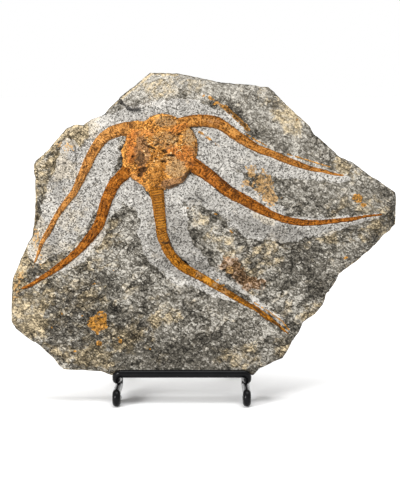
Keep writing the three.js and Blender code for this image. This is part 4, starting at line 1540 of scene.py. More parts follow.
    def hollow(self, rim: Array, run: Array, w: Array) -> Array:
        """How far the broken side lies inside the outline at a row.

        Args:
            rim: the outline.
            run: distance along it.
            w: heights of the row.

        Returns:
            Depths of the hollows, never negative.
        """
        u, v = rim.T
        rough = noise((u + v) / 9, (u - v) / 9 + w / 5, 5)
        hollow = 0.8 * self.edge_relief * np.maximum(rough, 0) * smoothstep(-w, 1, 8)
        beds = 0.45 * chips(run / 7, w / 2.1, 17) + 0.25 * chips(run / 2.6, w / 1.4, 18)
        return np.maximum(hollow + 0.3 + beds, 0)

    def build(self) -> Piece:
        """Makes the slab and marks its ground.

        Returns:
            The finished piece.
        """
        rim, inward, base = self.rim()
        rows, heights = self.rings(rim, inward, base)
        face, triangles = triangulate(rows[0], self.face_points(rows[0]))
        cells = self.well_inside(hexagonal(SLAB_LOW, SLAB_HIGH, self.back_cell), rows[-1], 1.6)
        back, back_triangles = triangulate(rows[-1], cells)
        face_height = self.face_height(*face.T)
        face_height[: len(rim)] = heights[0]
        parts = [face, *rows[1:-1], back]
        rings = number_rings(parts, len(rim))
        u, v = np.vstack(parts).T
        w = np.concatenate([face_height, *heights[1:-1], self.back_height(*back.T)])
        first = int(rings[-1][0])
        faces = triangles + stitch(rings)
        faces += [(a + first, c + first, b + first) for a, b, c in back_triangles]
        on_face = np.zeros(len(u))
        on_face[: len(face)] = 1.0
        marks = self.marks(u, v, w, on_face)
        piece = new_piece("rock_slab_dressed", in_place(u, v, w), faces, marks=marks, smooth=False)
        turn_outwards(piece)
        piece.data.materials.append(self.finish.paint())
        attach(piece, "root")
        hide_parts("rock_slab")
        return piece

    def marks(self, u: Array, v: Array, w: Array, on_face: Array) -> dict[str, Array]:
        """Marks the kinds of ground, each from 0 to 1.

        Args:
            u: places to the right.
            v: places up the face.
            w: heights.
            on_face: 1 on the front, 0 on the sides and the back.

        Returns:
            The marks at each point.
        """
        carved = self.ground.carved(u, v) * on_face
        rim_light = (1 - smoothstep(self.star_edge(u, v), 0.25, 1.1)) * on_face
        sides = 1 - on_face
        _, fine, tone = self.ground.relief(u, v, carved)
        beds = 1.3 * noise(w / 1.1, (u + v) / 22, 171) + 0.9 * noise(w / 2.7, (u - v) / 30, 172)
        fine = fine * on_face + beds * sides * smoothstep(w, -22, -20)
        edge_band = streaks_mask(u, v, LEFT_EDGE_BAND)
        orange = spots_mask(u, v, ORANGE_SPOTS, 151, 0.35)
        # the seam mark also carries a painted highlight along the star's edge (rim light)
        seam = np.maximum(streaks_mask(u, v, PALE_STREAKS) + edge_band, 0.75 * rim_light)
        return {
            "carved": carved,
            "fine": fine,
            "facet": tone,
            "dark": spots_mask(u, v, DARK_GROUND, 101) * on_face,
            "pale": spots_mask(u, v, PALE_GROUND, 111) * on_face,
            "tan": np.maximum(spots_mask(u, v, TAN_GROUND, 121) + edge_band, 0.5 * sides),
            "calm": spots_mask(u, v, CALM_GROUND, 161, 0.7) * on_face,
            "rust": spots_mask(u, v, RUST_GROUND, 131) * on_face,
            "ochre": spots_mask(u, v, OCHRE_GROUND, 141) * on_face,
            "orange": np.maximum(orange, streaks_mask(u, v, ORANGE_STREAKS)) * on_face,
            "seam": seam * on_face,
            "crack_and_shadow": streaks_mask(u, v, CRACK_AND_SHADOW_LINES) * on_face,
        }


# ---------- The star ----------

STAR_RED = spots(
    (-22, 156, 6.5, 4, 1, -25), (-12, 150, 9, 5, 0.9, -38), (-51, 157, 4.2, 14, 0.95, -6),
    (-44, 168, 8, 4, 0.7, 10), (-20, 171, 9, 3.4, 0.7, 20), (2, 139, 12, 4.4, 0.5, -38),
    (-47, 137, 7, 4, 0.5, -30), (-45, 142, 4, 4.5, 0.7), (-51.5, 163, 4.5, 8, 0.8),
    (-11.5, 155.5, 5, 4, 1, -40),
)
STAR_OCHRE = spots(
    (-33.5, 140, 5.5, 10), (-32, 118, 6, 16, 1, 5), (-34, 150, 6, 6, 0.7), (-28, 95, 6, 12, 0.8, 12),
    (-30, 165, 9, 5, 0.4),
)
STAR_VIOLET = spots(
    (-43.5, 157, 4.5, 10, 1, 8), (-44.5, 148.5, 4, 4), (-19, 134.2, 10, 3.6, 1.2, 12),
    (-36, 168.5, 3.5, 2.5, 0.4), (-13, 137, 6, 3.5, 0.9, 40), (5.5, 176.5, 6, 2, 0.55, -10),
    (7, 142.5, 5, 1.6, 0.5, -38), (24, 162, 8, 1.5, 0.4, -28), (-27, 174, 6, 3, 0.4),
)
STAR_BUFF = spots(
    (-19, 144, 7.5, 7.5), (-11, 166, 5.5, 6, 0.9), (-29, 176.5, 9, 4.5, 0.8, 8),
    (-27, 164.5, 10, 6, 0.7), (-24, 151, 4, 3, 0.6), (-8, 158, 3.5, 5, 0.5),
    (-3.5, 70.2, 3, 1.6, 0.7, -30), (7.5, 62.8, 2.4, 1.8, 0.8, -30), (14, 58.5, 4, 2, 0.5, -30),
    (-50, 137, 4, 3, 0.4),
)
# Pits of the mouth: sunk into the disc and painted dark, which is painted shade.
ORAL_PITS = spots(
    (-43.2, 142.9, 2.5, 1.5, 1.4, 15), (-44.6, 139.8, 2, 1.4, 1.2, 30), (-28, 156, 2, 1, 1.4, -15),
    (-23.2, 152.9, 3.2, 1, 1.4), (-38, 159, 4, 0.8, 1.1, -25), (-17.5, 167.8, 1.6, 0.8, 1.2, 15),
    (-25.3, 160.5, 1.3, 0.9, 1.2), (-24, 168.6, 1.3, 0.8, 1.1), (-28.3, 148.9, 2, 0.8, 1.2),
    (-49.7, 152.5, 1.2, 1.2), (-41, 163.5, 1.6, 1, 0.9), (-33, 160.5, 2.4, 0.7, 0.9, 20),
    (-20, 162.5, 2, 0.7, 0.8, 30),
)
# Dark flecks of the star, with painted shade in its oral pits and painted shadow along the lower edge of
# the disc.
STAR_DARK = ORAL_PITS + spots(
    (-44.5, 152, 2.5, 4.5, 0.65, 10), (-31, 131, 4, 1, 0.6), (-6, 156.5, 1.3, 5, 0.6, 10),
    (-13, 138.5, 1.4, 6, 0.9, -40), (-20, 131.6, 9, 1.8, 0.9, 12), (18, 130.6, 13, 1.5, 0.85, -38),
    (2, 142.5, 8, 1.2, 0.6, -38), (-18.5, 84, 1.2, 12, 0.95, 37), (-27, 92, 3.6, 0.9, 1.8, -10),
    (30, 118, 9, 1, 0.5, -30), (-68, 114, 1.3, 10, 0.45, 10), (-78, 101, 1.2, 8, 0.4, 35),
    (-88, 132, 1.1, 9, 0.45, -24), (-9, 147, 5, 1.1, 0.6, -30), (-34, 98, 1, 3, 0.5),
    (38, 44.5, 8, 0.9, 0.8, -36), (25, 52.8, 6, 0.8, 0.6, -32), (50, 35.3, 5, 0.6, 0.9, -38),
    (57, 150, 7, 0.8, 0.45, -20),
)
STAR_BRIGHT = spots(
    (2, 66.4, 2.6, 2.3, 2.2), (-33.5, 143, 4, 9, 0.7), (-31, 179.5, 4, 2.5, 0.8),
    (-6, 178, 12, 2.5, 0.4), (18, 171, 8, 2, 0.7, -35), (-70, 167, 10, 2.5, 0.3, 30),
    (-29.5, 110, 3, 18, 0.6, 5), (-42, 169, 5, 3, 0.7),
)


def star_marks(u: Array, v: Array, along: Array, across: Array) -> dict[str, Array]:
    """Marks the colours of the star, each from 0 to 1, and where its fibres run.

    Args:
        u: places to the right.
        v: places up the face.
        along: distance along the fibres.
        across: distance across them.

    Returns:
        The marks at each point.
    """
    return {
        "along": along * MM / 5.5,
        "across": across * MM,
        "red": spots_mask(u, v, STAR_RED, 201),
        "ochre": spots_mask(u, v, STAR_OCHRE, 211),
        "violet": spots_mask(u, v, STAR_VIOLET, 221),
        "buff": spots_mask(u, v, STAR_BUFF, 231),
        "dark": spots_mask(u, v, STAR_DARK, 241),
        "bright": spots_mask(u, v, STAR_BRIGHT, 251, 0.6),
        "crest_light_and_gap_shade": np.zeros(u.shape),
        "tone": np.full(u.shape, 0.5),
    }


@dataclass
class GrainCrust:
    """Small calcite grains that stand out of a surface."""

    spacing: float = 0.85
    smallest: float = 0.16
    largest: float = 0.34
    seed: int = 5

    def recipe(self) -> Recipe:
        """Makes the tree that strews the grains."""
        sizes = {"Spacing": "Float", "Smallest": "Float", "Largest": "Float"}
        r = Recipe("grain_crust", {**sizes, "Seed": "Int"})
        host = r.given("Geometry")
        room = r.mark("grainy")
        sockets = {
            "Mesh": host, "Distance Min": r.given("Spacing"), "Density Max": 4.0e6,
            "Density Factor": room, "Seed": r.given("Seed"),
        }
        settings = {"distribute_method": "POISSON"}
        spread = r.add("GeometryNodeDistributePointsOnFaces", settings, sockets)
        tilt = r.drawn((0.0, 0.0, 0.0), (6.28, 6.28, 6.28), r.given("Seed"))
        size = r.drawn(r.given("Smallest"), r.given("Largest"), r.given("Seed"))
        uneven = r.drawn((0.7, 0.7, 0.7), (1.35, 1.35, 1.35), 77)
        scale = r.vector("SCALE", uneven, size)
        grain = r.add("GeometryNodeMeshIcoSphere", {}, {"Radius": 1.0, "Subdivisions": 1})
        turned = r.add("FunctionNodeEulerToRotation", {}, {0: tilt})
        toned = r.toned(r.strewn(spread, grain, turned, scale), 0.0, 1.0, 31)
        real = r.add("GeometryNodeRealizeInstances", {}, {"Geometry": toned})
        joined = r.add("GeometryNodeJoinGeometry", {}, {0: host})
        r.nodes.links.new(real.socket, joined.socket.node.inputs[0])
        r.close(joined, smooth=False)
        return r

    def strew(self, piece: Piece, material: Material) -> None:
        """Strews grains where a piece's mark grainy is high, and gives all of it its material."""
        values = {
            "Spacing": self.spacing * MM, "Smallest": self.smallest * MM,
            "Largest": self.largest * MM, "Seed": self.seed, "Material": material,
        }
        self.recipe().run(piece, values)


@dataclass
class RibRow:
    """The ribs across an arm, one for each of its joints."""

    pitch: float = 1.8
    height: float = 0.42
    length: float = 0.6
    seed: int = 9

    def recipe(self) -> Recipe:
        """Makes the tree that lays the ribs along a path."""
        sizes = {"Pitch": "Float", "Height": "Float", "Length": "Float"}
        r = Recipe("rib_row", {**sizes, "Seed": "Int"})
        curve = r.add("GeometryNodeMeshToCurve", {}, {"Mesh": r.given("Geometry")})
        sockets = {"Curve": curve, "Length": r.given("Pitch")}
        points = r.add("GeometryNodeCurveToPoints", {"mode": "LENGTH"}, sockets)
        tangent = Value(r, points.socket.node.outputs["Tangent"])
        out = r.mark("out", "FLOAT_VECTOR")
        half = r.mark("half")
        settings = {"primary_axis": "Z", "secondary_axis": "Y"}
        facing = r.add("FunctionNodeAxesToRotation", settings, {0: out, 1: tangent})
        vary = r.drawn((0.8, 0.75, 0.45), (1.0, 1.15, 1.25), r.given("Seed"))
        sockets = {"X": half, "Y": r.given("Length"), "Z": r.given("Height")}
        scale = r.vector("MULTIPLY", r.add("ShaderNodeCombineXYZ", {}, sockets), vary)
        rib = r.add("GeometryNodeMeshIcoSphere", {}, {"Radius": 1.0, "Subdivisions": 2})
        r.close(r.toned(r.strewn(points, rib, facing, scale), 0.2, 0.9, 13), smooth=False)
        return r


@dataclass
class Arm:
    """One arm of the star: a low crowned band with a granular crust and ribs across it."""

    name: str
    line: Line
    ground: Ground
    finish: FossilFinish
    crust: GrainCrust = field(default_factory=GrainCrust)
    ribs: RibRow = field(default_factory=RibRow)
    ladder: tuple[float, float] = (0.0, 0.0)  # stretch of the arm where the ribs stand clear
    seed: int = 1
    seat: float = 1.2
    tallest: float = 1.9
    step: float = 0.5
    across: int = 17

    def surface(self) -> tuple[Array, ...]:
        """Works out the cross sections.

        Returns:
            The places u, v and w of every point, one section in each row; how far each lies
            to the side; and the path.
        """
        path = smooth_line(self.line, self.step)
        run = self.run(path)
        tip = np.sqrt(np.clip(1 - ((run - run[-1] + 2.2) / 2.2).clip(0, 1) ** 2, 0.02, 1))
        half = path[:, 2:] * tip
        t = np.linspace(-1, 1, self.across)
        a = np.sin(t * np.pi / 2) * 0.35 + t * 0.65
        spread = np.where(a < 0, self.ragged(run, 3), self.ragged(run, 4)) * np.abs(a)
        offset = a * half - np.sign(a) * spread * tip
        u, v = (path[:, :2, None] + sideways(path)[:, :, None] * offset[:, None, :]).transpose(1, 0, 2)
        rise = 0.48 + 0.52 * np.sqrt(np.clip(1 - np.abs(a) ** 2.6, 0, 1))
        w = self.ground.height(u, v) + self.crown(path) * (0.35 + 0.65 * tip) * rise
        middle = (1 - np.abs(a) ** 4) * np.minimum(half / 3, 1)
        lumps = 0.26 * noise(run / 2.6, offset / 2.0, 300 + self.seed)
        lumps = lumps + 0.16 * chips(run / 1.25 + 0 * offset, offset / 1.2, 310 + self.seed)
        fibres = 0.14 * noise(run / 3.2, offset / 0.62, 340 + self.seed)
        joints = 0.06 * np.cos(2 * np.pi * run / self.ribs.pitch)
        w += (lumps + fibres + joints) * middle
        w -= 0.35 * spots_mask(u, v, STAR_DARK, 241) * middle
        return u, v, w, offset, path

    def run(self, path: Array) -> Array:
        """Distance along the arm at each point of its path, as a column."""
        return np.arange(len(path))[:, None] * self.step

    def crown(self, path: Array) -> Array:
        """How high the arm stands at each point of its path, as a column."""
        return np.minimum(self.tallest, 0.5 + 0.4 * path[:, 2:])

    def clearing(self, run: Array) -> Array:
        """Where the ribs stand clear, from 0 to 1."""
        start, end = self.ladder
        return smoothstep(run, start - 3, start) * (1 - smoothstep(run, end, end + 3))

    def crust_and_lower_edge_shade(self, path: Array, aside: Array) -> Array:
        """Where the arm is painted darker: a dark crust along both edges, more darkening on the edge
        that faces down, which is painted shade, and dark bands between clear ribs.

        Args:
            path: the arm's middle line.
            aside: how far each point lies to the side.

        Returns:
            The crust's mark at each point.
        """
        # edges that face down get painted shade, as if lit from above
        lower = -np.sign(aside) * sideways(path)[:, 1:]
        edge = smoothstep(np.abs(aside) / path[:, 2:], 0.5, 1.0) * (0.28 + 0.36 * np.maximum(lower, 0))
        run = self.run(path)
        bars = 0.75 * self.clearing(run)
        bars = bars * smoothstep(np.cos(2 * np.pi * run / self.ribs.pitch), 0.1, 0.7)
        return np.maximum(edge, bars * (np.abs(aside) < 0.8 * path[:, 2:]))

    def ragged(self, run: Array, seed: int) -> Array:
        """How far an edge is nibbled away along the arm."""
        edge = 0.16 * noise(run / 1.5, run * 0, 320 + seed + self.seed)
        return edge + 0.22 * layered(run / 5, run * 0 + 3.3, 330 + seed + self.seed, 2)

    def build(self) -> Piece:
        """Makes the arm.

        Returns:
            The finished piece.
        """
        u, v, w, aside, path = self.surface()
        low = self.ground.height(u, v) - self.seat
        columns = [0, *range(self.across), self.across - 1]
        u = u[:, columns]
        v = v[:, columns]
        w = np.hstack([low[:, :1], w, low[:, -1:]])
        stations, around = u.shape
        rings = [np.arange(around) + k * around for k in range(stations)]
        faces = stitch(rings) + [tuple(rings[0].tolist()), tuple(rings[-1][::-1].tolist())]
        flat_u, flat_v, flat_w = u.ravel(), v.ravel(), w.ravel()
        along = np.repeat(self.run(path)[:, 0], around)
        marks = star_marks(flat_u, flat_v, along, aside[:, columns].ravel())
        # dark crust on the edges, with painted shade on the lower edge
        marks["dark"] = np.maximum(marks["dark"], self.crust_and_lower_edge_shade(path, aside)[:, columns].ravel())
        grainy = np.ones(w.shape)
        grainy[:, :2] = 0
        grainy[:, -2:] = 0
        grainy *= smoothstep(path[:, 2:], 0.5, 2.0)
        marks["grainy"] = grainy.ravel()
        piece = new_piece(self.name + "_dressed", in_place(flat_u, flat_v, flat_w), faces, marks)
        turn_outwards(piece)
        material = self.finish.paint()
        self.crust.strew(piece, material)
        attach(piece, "root")
        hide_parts(self.name)
        self.lay_ribs(path, material)
        return piece

    def lay_ribs(self, path: Array, material: Material) -> None:
        """Lays the ribs along the arm.

        Args:
            path: the arm's middle line.
            material: their finish.
        """
        run = self.run(path)
        inside = ((run > 4) & (run < run[-1] - 8))[:, 0]
        path = path[inside]
        run = run[inside]
        sunk = 0.30 - 0.22 * self.clearing(run)
        u, v, half = path.T
        w = self.ground.height(u, v) + (self.crown(path) - sunk)[:, 0]
        marks = star_marks(u, v, run[:, 0], np.zeros(len(path)))
        marks["half"] = half * 0.84 * MM
        points = in_place(u, v, w)
        piece = new_piece(self.name + "_ribs", points, [], marks)
        out = piece.data.attributes.new("out", "FLOAT_VECTOR", "POINT")
        out.data.foreach_set("vector", np.tile((0.0, -COS_LEAN, SIN_LEAN), len(points)))
        values = {
            "Pitch": self.ribs.pitch * MM, "Height": self.ribs.height * MM,
            "Length": self.ribs.length * MM, "Seed": self.ribs.seed + self.seed, "Material": material,
        }
        self.ribs.recipe().run(piece, values)
        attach(piece, "root")


@dataclass
class Disc:
    """The body of the star: a low dome of curled and granular calcite with pits in its middle."""

    ground: Ground
    finish: FossilFinish
    crust: GrainCrust = field(default_factory=lambda: GrainCrust(0.9, 0.16, 0.34, 6))
    cell: float = 0.52
    rim_step: float = 0.5
    rise: float = 3.6
    seat: float = 3.5
    swells: tuple[Spot, ...] = spots((-19, 141.5, 8.5, 9.5, 1.3), (-11, 166, 6.5, 6.5, 0.6))
    bare: tuple[Spot, ...] = spots((-19, 142, 8.5, 9), (-11, 166, 6, 6))  # with few grains
    ridges: tuple[tuple[Line, float], ...] = (
        (((-14, 154, 4.4), (-21, 156.5, 3.8), (-27, 158, 2.6)), 0.9),
        (((-34.5, 134, 5.5), (-34, 143, 4.6), (-32, 150, 3.2)), 0.55),
        (((-46, 143, 4), (-51.5, 150, 4.6), (-52, 160, 4.6), (-48, 169, 4.4)), 0.6),
        (((-46, 170, 4), (-38, 168, 4), (-33, 163, 3)), 0.4),
        (((-18, 174, 4), (-24, 169, 4), (-28, 164, 3)), 0.5),
    )
    edge_reach: float = 2.2  # how far in from its rim the disc rounds over

    def outline(self) -> Array:
        """The disc's rim, anticlockwise, in small ragged steps."""
        corners = np.array(DISC_OUTLINE[::-1], dtype=float)
        closed = np.vstack([corners, corners[:3]])
        widths = np.ones((len(closed), 1))
        smooth = smooth_line(np.hstack([closed, widths]), self.rim_step)[:, :2]
        start = np.argmin(np.hypot(*(smooth - corners[1]).T)[:80])
        finish = len(smooth) - 1 - np.argmin(np.hypot(*(smooth[::-1] - corners[1]).T)[:80])
        ring = smooth[start:finish]
        run = np.arange(len(ring)) * self.rim_step
        fade = np.minimum(run, run[-1] - run).clip(0, 3) / 3
        nibble = (0.3 * noise(run / 1.9, run * 0, 401) + 0.3 * layered(run / 5, run * 0, 402, 2)) * fade
        return ring + sideways(ring) * (nibble + 0.2)[:, None]

    def height(self, u: Array, v: Array) -> tuple[Array, Array]:
        """Height of the disc's top.

        Args:
            u: places to the right.
            v: places up the face.

        Returns:
            Heights, and the mark of painted highlight on the crests of the curled ridges, with painted
            shade in the gaps between them below zero.
        """
        share = self.ground.from_centre(u, v) / (self.ground.disc_radius + 3)
        w = self.ground.height(u, v) + self.rise * np.sqrt(np.clip(1 - share**2, 0, 1))
        smooth = np.zeros(u.shape)
        for swell in self.swells:
            reach = ((u - swell.u) / swell.half_u) ** 2 + ((v - swell.v) / swell.half_v) ** 2
            dome = np.sqrt(np.clip(1 - reach, 0, 1))
            w += swell.strength * dome
            smooth = np.maximum(smooth, smoothstep(dome, 0.1, 0.5))
        for line, rise in self.ridges:
            near = to_line(u, v, line)
            w += rise * np.sqrt(np.clip(1 - (near.distance / near.width) ** 2, 0, 1))
        w -= 1.3 * spots_mask(u, v, ORAL_PITS, 405)
        bend_u = u + 1.1 * noise(u / 2.6, v / 2.6, 411)
        bend_v = v + 1.1 * noise(u / 2.6, v / 2.6, 412)
        curls = (1 - np.abs(noise(bend_u / 3.0, bend_v / 2.0, 413))) ** 4
        fine = (1 - np.abs(noise(bend_u / 1.4, bend_v / 1.1, 414))) ** 3
        lumps = 0.35 * chips(u / 3.1, v / 2.6, 415) + 0.3 * noise(u / 4.5, v / 4.5, 4)
        rough = 1.5 * curls + 0.45 * fine + lumps - 0.55
        w += rough * (1 - 0.75 * smooth)
        crest_light_and_gap_shade = smoothstep(curls, 0.5, 0.9) * (1 - smooth) * self.middle(u, v)
        return w, crest_light_and_gap_shade - 0.75 * (1 - smoothstep(curls + fine, 0.04, 0.35)) * (1 - smooth)

    def middle(self, u: Array, v: Array) -> Array:
        """Where the crests of the curled ridges get their painted highlight: around the mouth."""
        return 1 - smoothstep(np.hypot((u + 28) / 1.3, v - 157), 8, 17)

    def build(self) -> Piece:
        """Makes the disc.

        Returns:
            The finished piece.
        """
        ring = self.outline()
        centre = np.array(self.ground.disc_centre)
        cells = hexagonal((-62, 124), (0, 186), self.cell)
        closed = np.vstack([ring, ring[:1]])
        near = to_line(*cells.T, closed)
        cells = cells[(near.side > 0) & (near.distance > 0.35)]
        top, triangles = triangulate(ring + (centre - ring) * 0.012, cells)
        w, crest_light_and_gap_shade = self.height(*top.T)
        edge = to_line(*top.T, closed).distance
        ground = self.ground.height(*top.T)
        shoulder = np.sqrt(np.clip(1 - (1 - np.clip(edge / self.edge_reach, 0, 1)) ** 2, 0, 1))
        w = ground + (w - ground) * (0.42 + 0.58 * shoulder)
        low_ring = ring + (centre - ring) * 0.02
        foot = self.ground.height(*ring.T)
        parts = [top, ring, low_ring, low_ring]
        heights = [w, w[: len(ring)] * 0.6 + foot * 0.4, foot - 0.2, foot - self.seat + 1.3]
        rings = number_rings(parts, len(ring))
        u, v = np.vstack(parts).T
        faces = triangles + stitch(rings) + [tuple(rings[-1][::-1].tolist())]
        marks = star_marks(u, v, u * 2.2 + v, v - u * 0.5)
        marks["crest_light_and_gap_shade"] = np.concatenate([crest_light_and_gap_shade, np.zeros(len(u) - len(top))])
        marks["grainy"] = (1 - 0.8 * spots_mask(u, v, self.bare, 231)) * 0.4
        marks["grainy"][len(top) :] = 0
        points = in_place(u, v, np.concatenate(heights))
        piece = new_piece("star_disc_dressed", points, faces, marks)
        turn_outwards(piece)
        self.crust.strew(piece, self.finish.paint())
        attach(piece, "root")
        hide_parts("star_disc")
        return piece


@dataclass
class BrittleStar:
    """The whole star: a disc and five arms."""

    ground: Ground

    def build(self) -> None:
        """Makes the disc and the arms."""
        Disc(self.ground, Rust.BODY.value).build()
        log.info("disc of the star made")
        finishes = {
            "arm_upper_left": (Rust.ORANGE_BROWN, (0, 0)),
            "arm_lower_left": (Rust.DEEP_RUST, (0, 0)),
            "arm_bottom": (Rust.OCHRE, (8, 44)),
            "arm_lower_right": (Rust.DEEP_RUST, (0, 0)),
            "arm_upper_right": (Rust.BRIGHT_ORANGE, (0, 0)),
        }
        for seed, (name, (rust, ladder)) in enumerate(finishes.items()):
            Arm(name, ARMS[name], self.ground, rust.value, ladder=ladder, seed=seed).build()
            log.info("%s made", name)


# ---------- The stand ----------


@dataclass(frozen=True)
class Corner:
    """A corner of a rod's path, rounded off with a radius."""

    at: Triple
    radius: float = 0.0


@dataclass
class WireStand:
    """Two bent side rods with rear legs, a back bar, and a lip bar in front of the slab."""

    centre: float = -15.75
    side_offset: float = 44.8
    lip_offset: float = 45.5
    shelf: float = -(GAP + ROD / 2)
    upright: float = -(SLAB_THICKNESS + GAP + ROD / 2)
    upright_top: float = 95.0
    heel: float = 6.3
    hairpin: Triple = (-17.0, 9.45, 3.2)  # y, height and radius
    toe_end: float = 2.0
    lip: Triple = (1.1, 2.6, 3.2)  # v, w and radius
    shelf_end: float = -16.0
    rear_leg: tuple[float, ...] = (39.5, 80.0, 86.0, 98.0)  # y and height of its top; y of bend, end
    crossbar: tuple[float, float] = (86.0, 47.5)  # v, and its reach to each side
    arc_step: float = 7.0  # degrees
    sides: int = 32

    def path(self, corners: list[Corner]) -> Array:
        """Rounds the corners of a path.

        Args:
            corners: the corners, ends included.

        Returns:
            Points in millimetres.
        """
        points = [np.array(corners[0].at, dtype=float)]
        for before, corner, after in zip(corners[:-2], corners[1:-1], corners[2:]):
            incoming = Vector(corner.at) - Vector(before.at)
            outgoing = Vector(after.at) - Vector(corner.at)
            incoming.normalize()
            outgoing.normalize()
            turn = incoming.angle(outgoing)
            axis = incoming.cross(outgoing).normalized()
            start = Vector(corner.at) - incoming * corner.radius * math.tan(turn / 2)
            inward = axis.cross(incoming)
            centre = start + inward * corner.radius
            count = max(2, math.ceil(math.degrees(turn) / self.arc_step))
            for n in range(count + 1):
                spoke = Matrix.Rotation(turn * n / count, 3, axis) @ (-inward * corner.radius)
                points.append(np.array(centre + spoke))
        points.append(np.array(corners[-1].at, dtype=float))
        return np.array(points)

    def with_round_ends(self, points: Array) -> tuple[Array, Array]:
        """Adds the points of two slightly rounded ends.

        Args:
            points: the path.

        Returns:
            The path, and the share of the rod's thickness at each point.
        """
        ends = []
        for tip, beside in ((points[0], points[1]), (points[-1], points[-2])):
            away = (beside - tip) / np.linalg.norm(beside - tip)
            ends.append([tip, tip + away * 0.15, tip + away * 0.5])
        full_path = np.vstack([ends[0], points[1:-1], ends[1][::-1]])
        shares = np.ones(len(full_path))
        shares[:3] = (0.8, 0.93, 1.0)
        shares[-3:] = (1.0, 0.93, 0.8)
        return full_path, shares

    def recipe(self) -> Recipe:
        """Makes the tree that sweeps a round rod along a path."""
        r = Recipe("bent_rod", {"Radius": "Float", "Sides": "Int"})
        curve = r.add("GeometryNodeMeshToCurve", {}, {"Mesh": r.given("Geometry")})
        sockets = {"Resolution": r.given("Sides"), "Radius": r.given("Radius")}
        section = r.add("GeometryNodeCurvePrimitiveCircle", {}, sockets)
        sockets = {"Curve": curve, "Profile Curve": section, "Scale": r.mark("share"), "Fill Caps": True}
        r.close(r.add("GeometryNodeCurveToMesh", {}, sockets), smooth=True)
        return r

    def rod(self, node: str, corners: list[Corner], material: Material) -> None:
        """Makes one rod in the place of a CAD node.

        Args:
            node: the CAD node.
            corners: the corners of its path.
            material: its finish.
        """
        points, shares = self.with_round_ends(self.path(corners))
        points = (points + (0, SHIFT, 0)) * MM
        piece = new_piece(node + "_dressed", points, [], {"share": shares})
        values = {"Radius": ROD / 2 * MM, "Sides": self.sides, "Material": material}
        self.recipe().run(piece, values)
        turn_outwards(piece)
        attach(piece, "root")
        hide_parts(node)

    def build(self) -> None:
        """Makes the stand's six rods."""
        material = EnamelFinish().paint()
        for side, word in ((-1, "left"), (1, "right")):
            x = self.centre + side * self.side_offset
            _, top_y, top_z = slab_point(x, self.upright_top, self.upright)
            heel_y = top_y - (top_z - self.heel) * SIN_LEAN / COS_LEAN
            toe, toe_top, bend = self.hairpin
            corners = [
                Corner((x, top_y, top_z)), Corner((x, heel_y, self.heel), 5),
                Corner((x, toe, toe_top), bend), Corner((x, toe, ROD / 2), bend),
                Corner((x, self.toe_end, ROD / 2)),
            ]
            self.rod(f"stand_{word}_side_rod", corners, material)
            x = self.centre + side * (self.side_offset - ROD - GAP)
            top_y, top_z, foot, end = self.rear_leg
            corners = [
                Corner((x, top_y, top_z)), Corner((x, foot, ROD / 2), 6), Corner((x, end, ROD / 2))
            ]
            self.rod(f"stand_{word}_rear_leg", corners, material)
            log.info("%s side of the stand made", word)
        self.rod("stand_lip", self.half_lip(-1) + self.half_lip(1)[::-1], material)
        v, reach = self.crossbar
        behind = self.upright - ROD - GAP
        ends = [Corner(slab_point(self.centre + side * reach, v, behind)) for side in (-1, 1)]
        self.rod("stand_back_crossbar", ends, material)
        log.info("bars of the stand made")

    def half_lip(self, side: int) -> list[Corner]:
        """One half of the lip bar, from its run under the slab to the middle."""
        v, w, bend = self.lip
        return [
            Corner(slab_point(self.centre + side * self.side_offset, self.shelf, self.shelf_end)),
            Corner(slab_point(self.centre + side * self.lip_offset, self.shelf, -1.5), 3),
            Corner(slab_point(self.centre + side * self.lip_offset, v, w), bend),
        ]


# ---------- The studio ----------


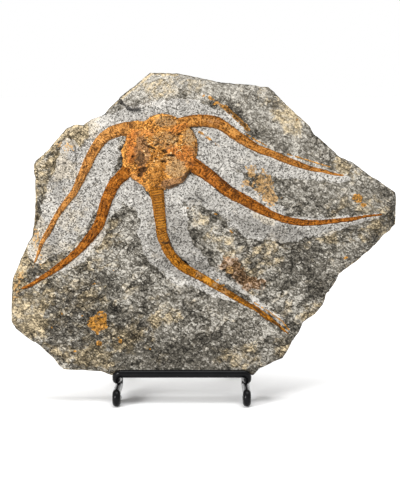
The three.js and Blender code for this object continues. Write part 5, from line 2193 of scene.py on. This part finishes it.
@dataclass
class Studio:
    """Pale floor, soft light and the camera."""

    aim: Triple = (-3.15, 87.0, 0.0)
    distance: float = 1.2
    elevation: float = 8.0
    lens: float = 124.1
    floor_size: float = 8.0
    ambient: float = 0.72
    ceiling_power: float = 2.0
    key_power: float = 46.0

    def build(self) -> None:
        """Sets up the floor, the lights and the camera."""
        bpy.context.scene.view_settings.view_transform = "Standard"
        half = self.floor_size / 2
        corners = np.array([(-half, -half, 0), (half, -half, 0), (half, half, 0), (-half, half, 0)])
        floor = new_piece("floor", corners, [(0, 1, 2, 3)])
        floor.data.materials.append(PaperFinish().paint())
        self.surround()
        self.lights()
        self.camera()
        log.info("studio set up")

    def surround(self) -> None:
        """Lights the scene from all round, with a white background."""
        world = bpy.data.worlds.new("surround")
        world.use_nodes = True
        tree = Tree(world.node_tree)
        seen = tree.add("ShaderNodeLightPath", output="Is Camera Ray")
        level = seen * (1 - self.ambient) + self.ambient
        light = tree.add("ShaderNodeBackground", {}, {"Color": (1, 1, 1, 1), "Strength": level})
        tree.add("ShaderNodeOutputWorld", {}, {"Surface": light})
        bpy.context.scene.world = world

    def lights(self) -> None:
        """Hangs a broad soft light that rakes down the face, and a soft lamp at the left."""
        ceiling = bpy.data.lights.new("ceiling_light", "SUN")
        ceiling.energy = self.ceiling_power
        ceiling.angle = math.radians(50)
        self.hang(ceiling, Vector((0, 0, 0)), Vector((-0.12, -0.04, -1.0)))
        key = bpy.data.lights.new("key_light", "AREA")
        key.energy = self.key_power
        key.size = 0.7
        place = Vector((-1.3, -1.4, 0.65))
        self.hang(key, place, Vector((0, 0, 0.11)) - place)

    def hang(self, light: bpy.types.Light, place: Vector, toward: Vector) -> None:
        """Hangs a light.

        Args:
            light: the light.
            place: where it hangs.
            toward: the direction it shines in.
        """
        lamp = bpy.data.objects.new(light.name, light)
        lamp.location = place
        lamp.rotation_euler = toward.to_track_quat("-Z", "Y").to_euler()
        bpy.context.scene.collection.objects.link(lamp)

    def camera(self) -> None:
        """Places the camera."""
        lens = bpy.data.cameras.new("camera")
        lens.sensor_fit = "VERTICAL"
        lens.sensor_height = 36
        lens.lens = self.lens
        camera = bpy.data.objects.new("camera", lens)
        target = Vector(in_place(*self.aim))
        angle = math.radians(self.elevation)
        camera.location = target + self.distance * Vector((0, -math.cos(angle), math.sin(angle)))
        camera.rotation_euler = (math.radians(90 - self.elevation), 0, 0)
        bpy.context.scene.collection.objects.link(camera)
        bpy.context.scene.camera = camera


def main() -> None:
    """Builds the studio, the slab, the star and the stand."""
    logging.basicConfig(level=logging.INFO, format="%(name)s: %(message)s")
    Studio().build()
    ground = Ground()
    RockSlab(ground, RockFinish()).build()
    log.info("slab made")
    BrittleStar(ground).build()
    WireStand().build()
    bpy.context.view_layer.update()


if __name__ == "__main__":
    main()
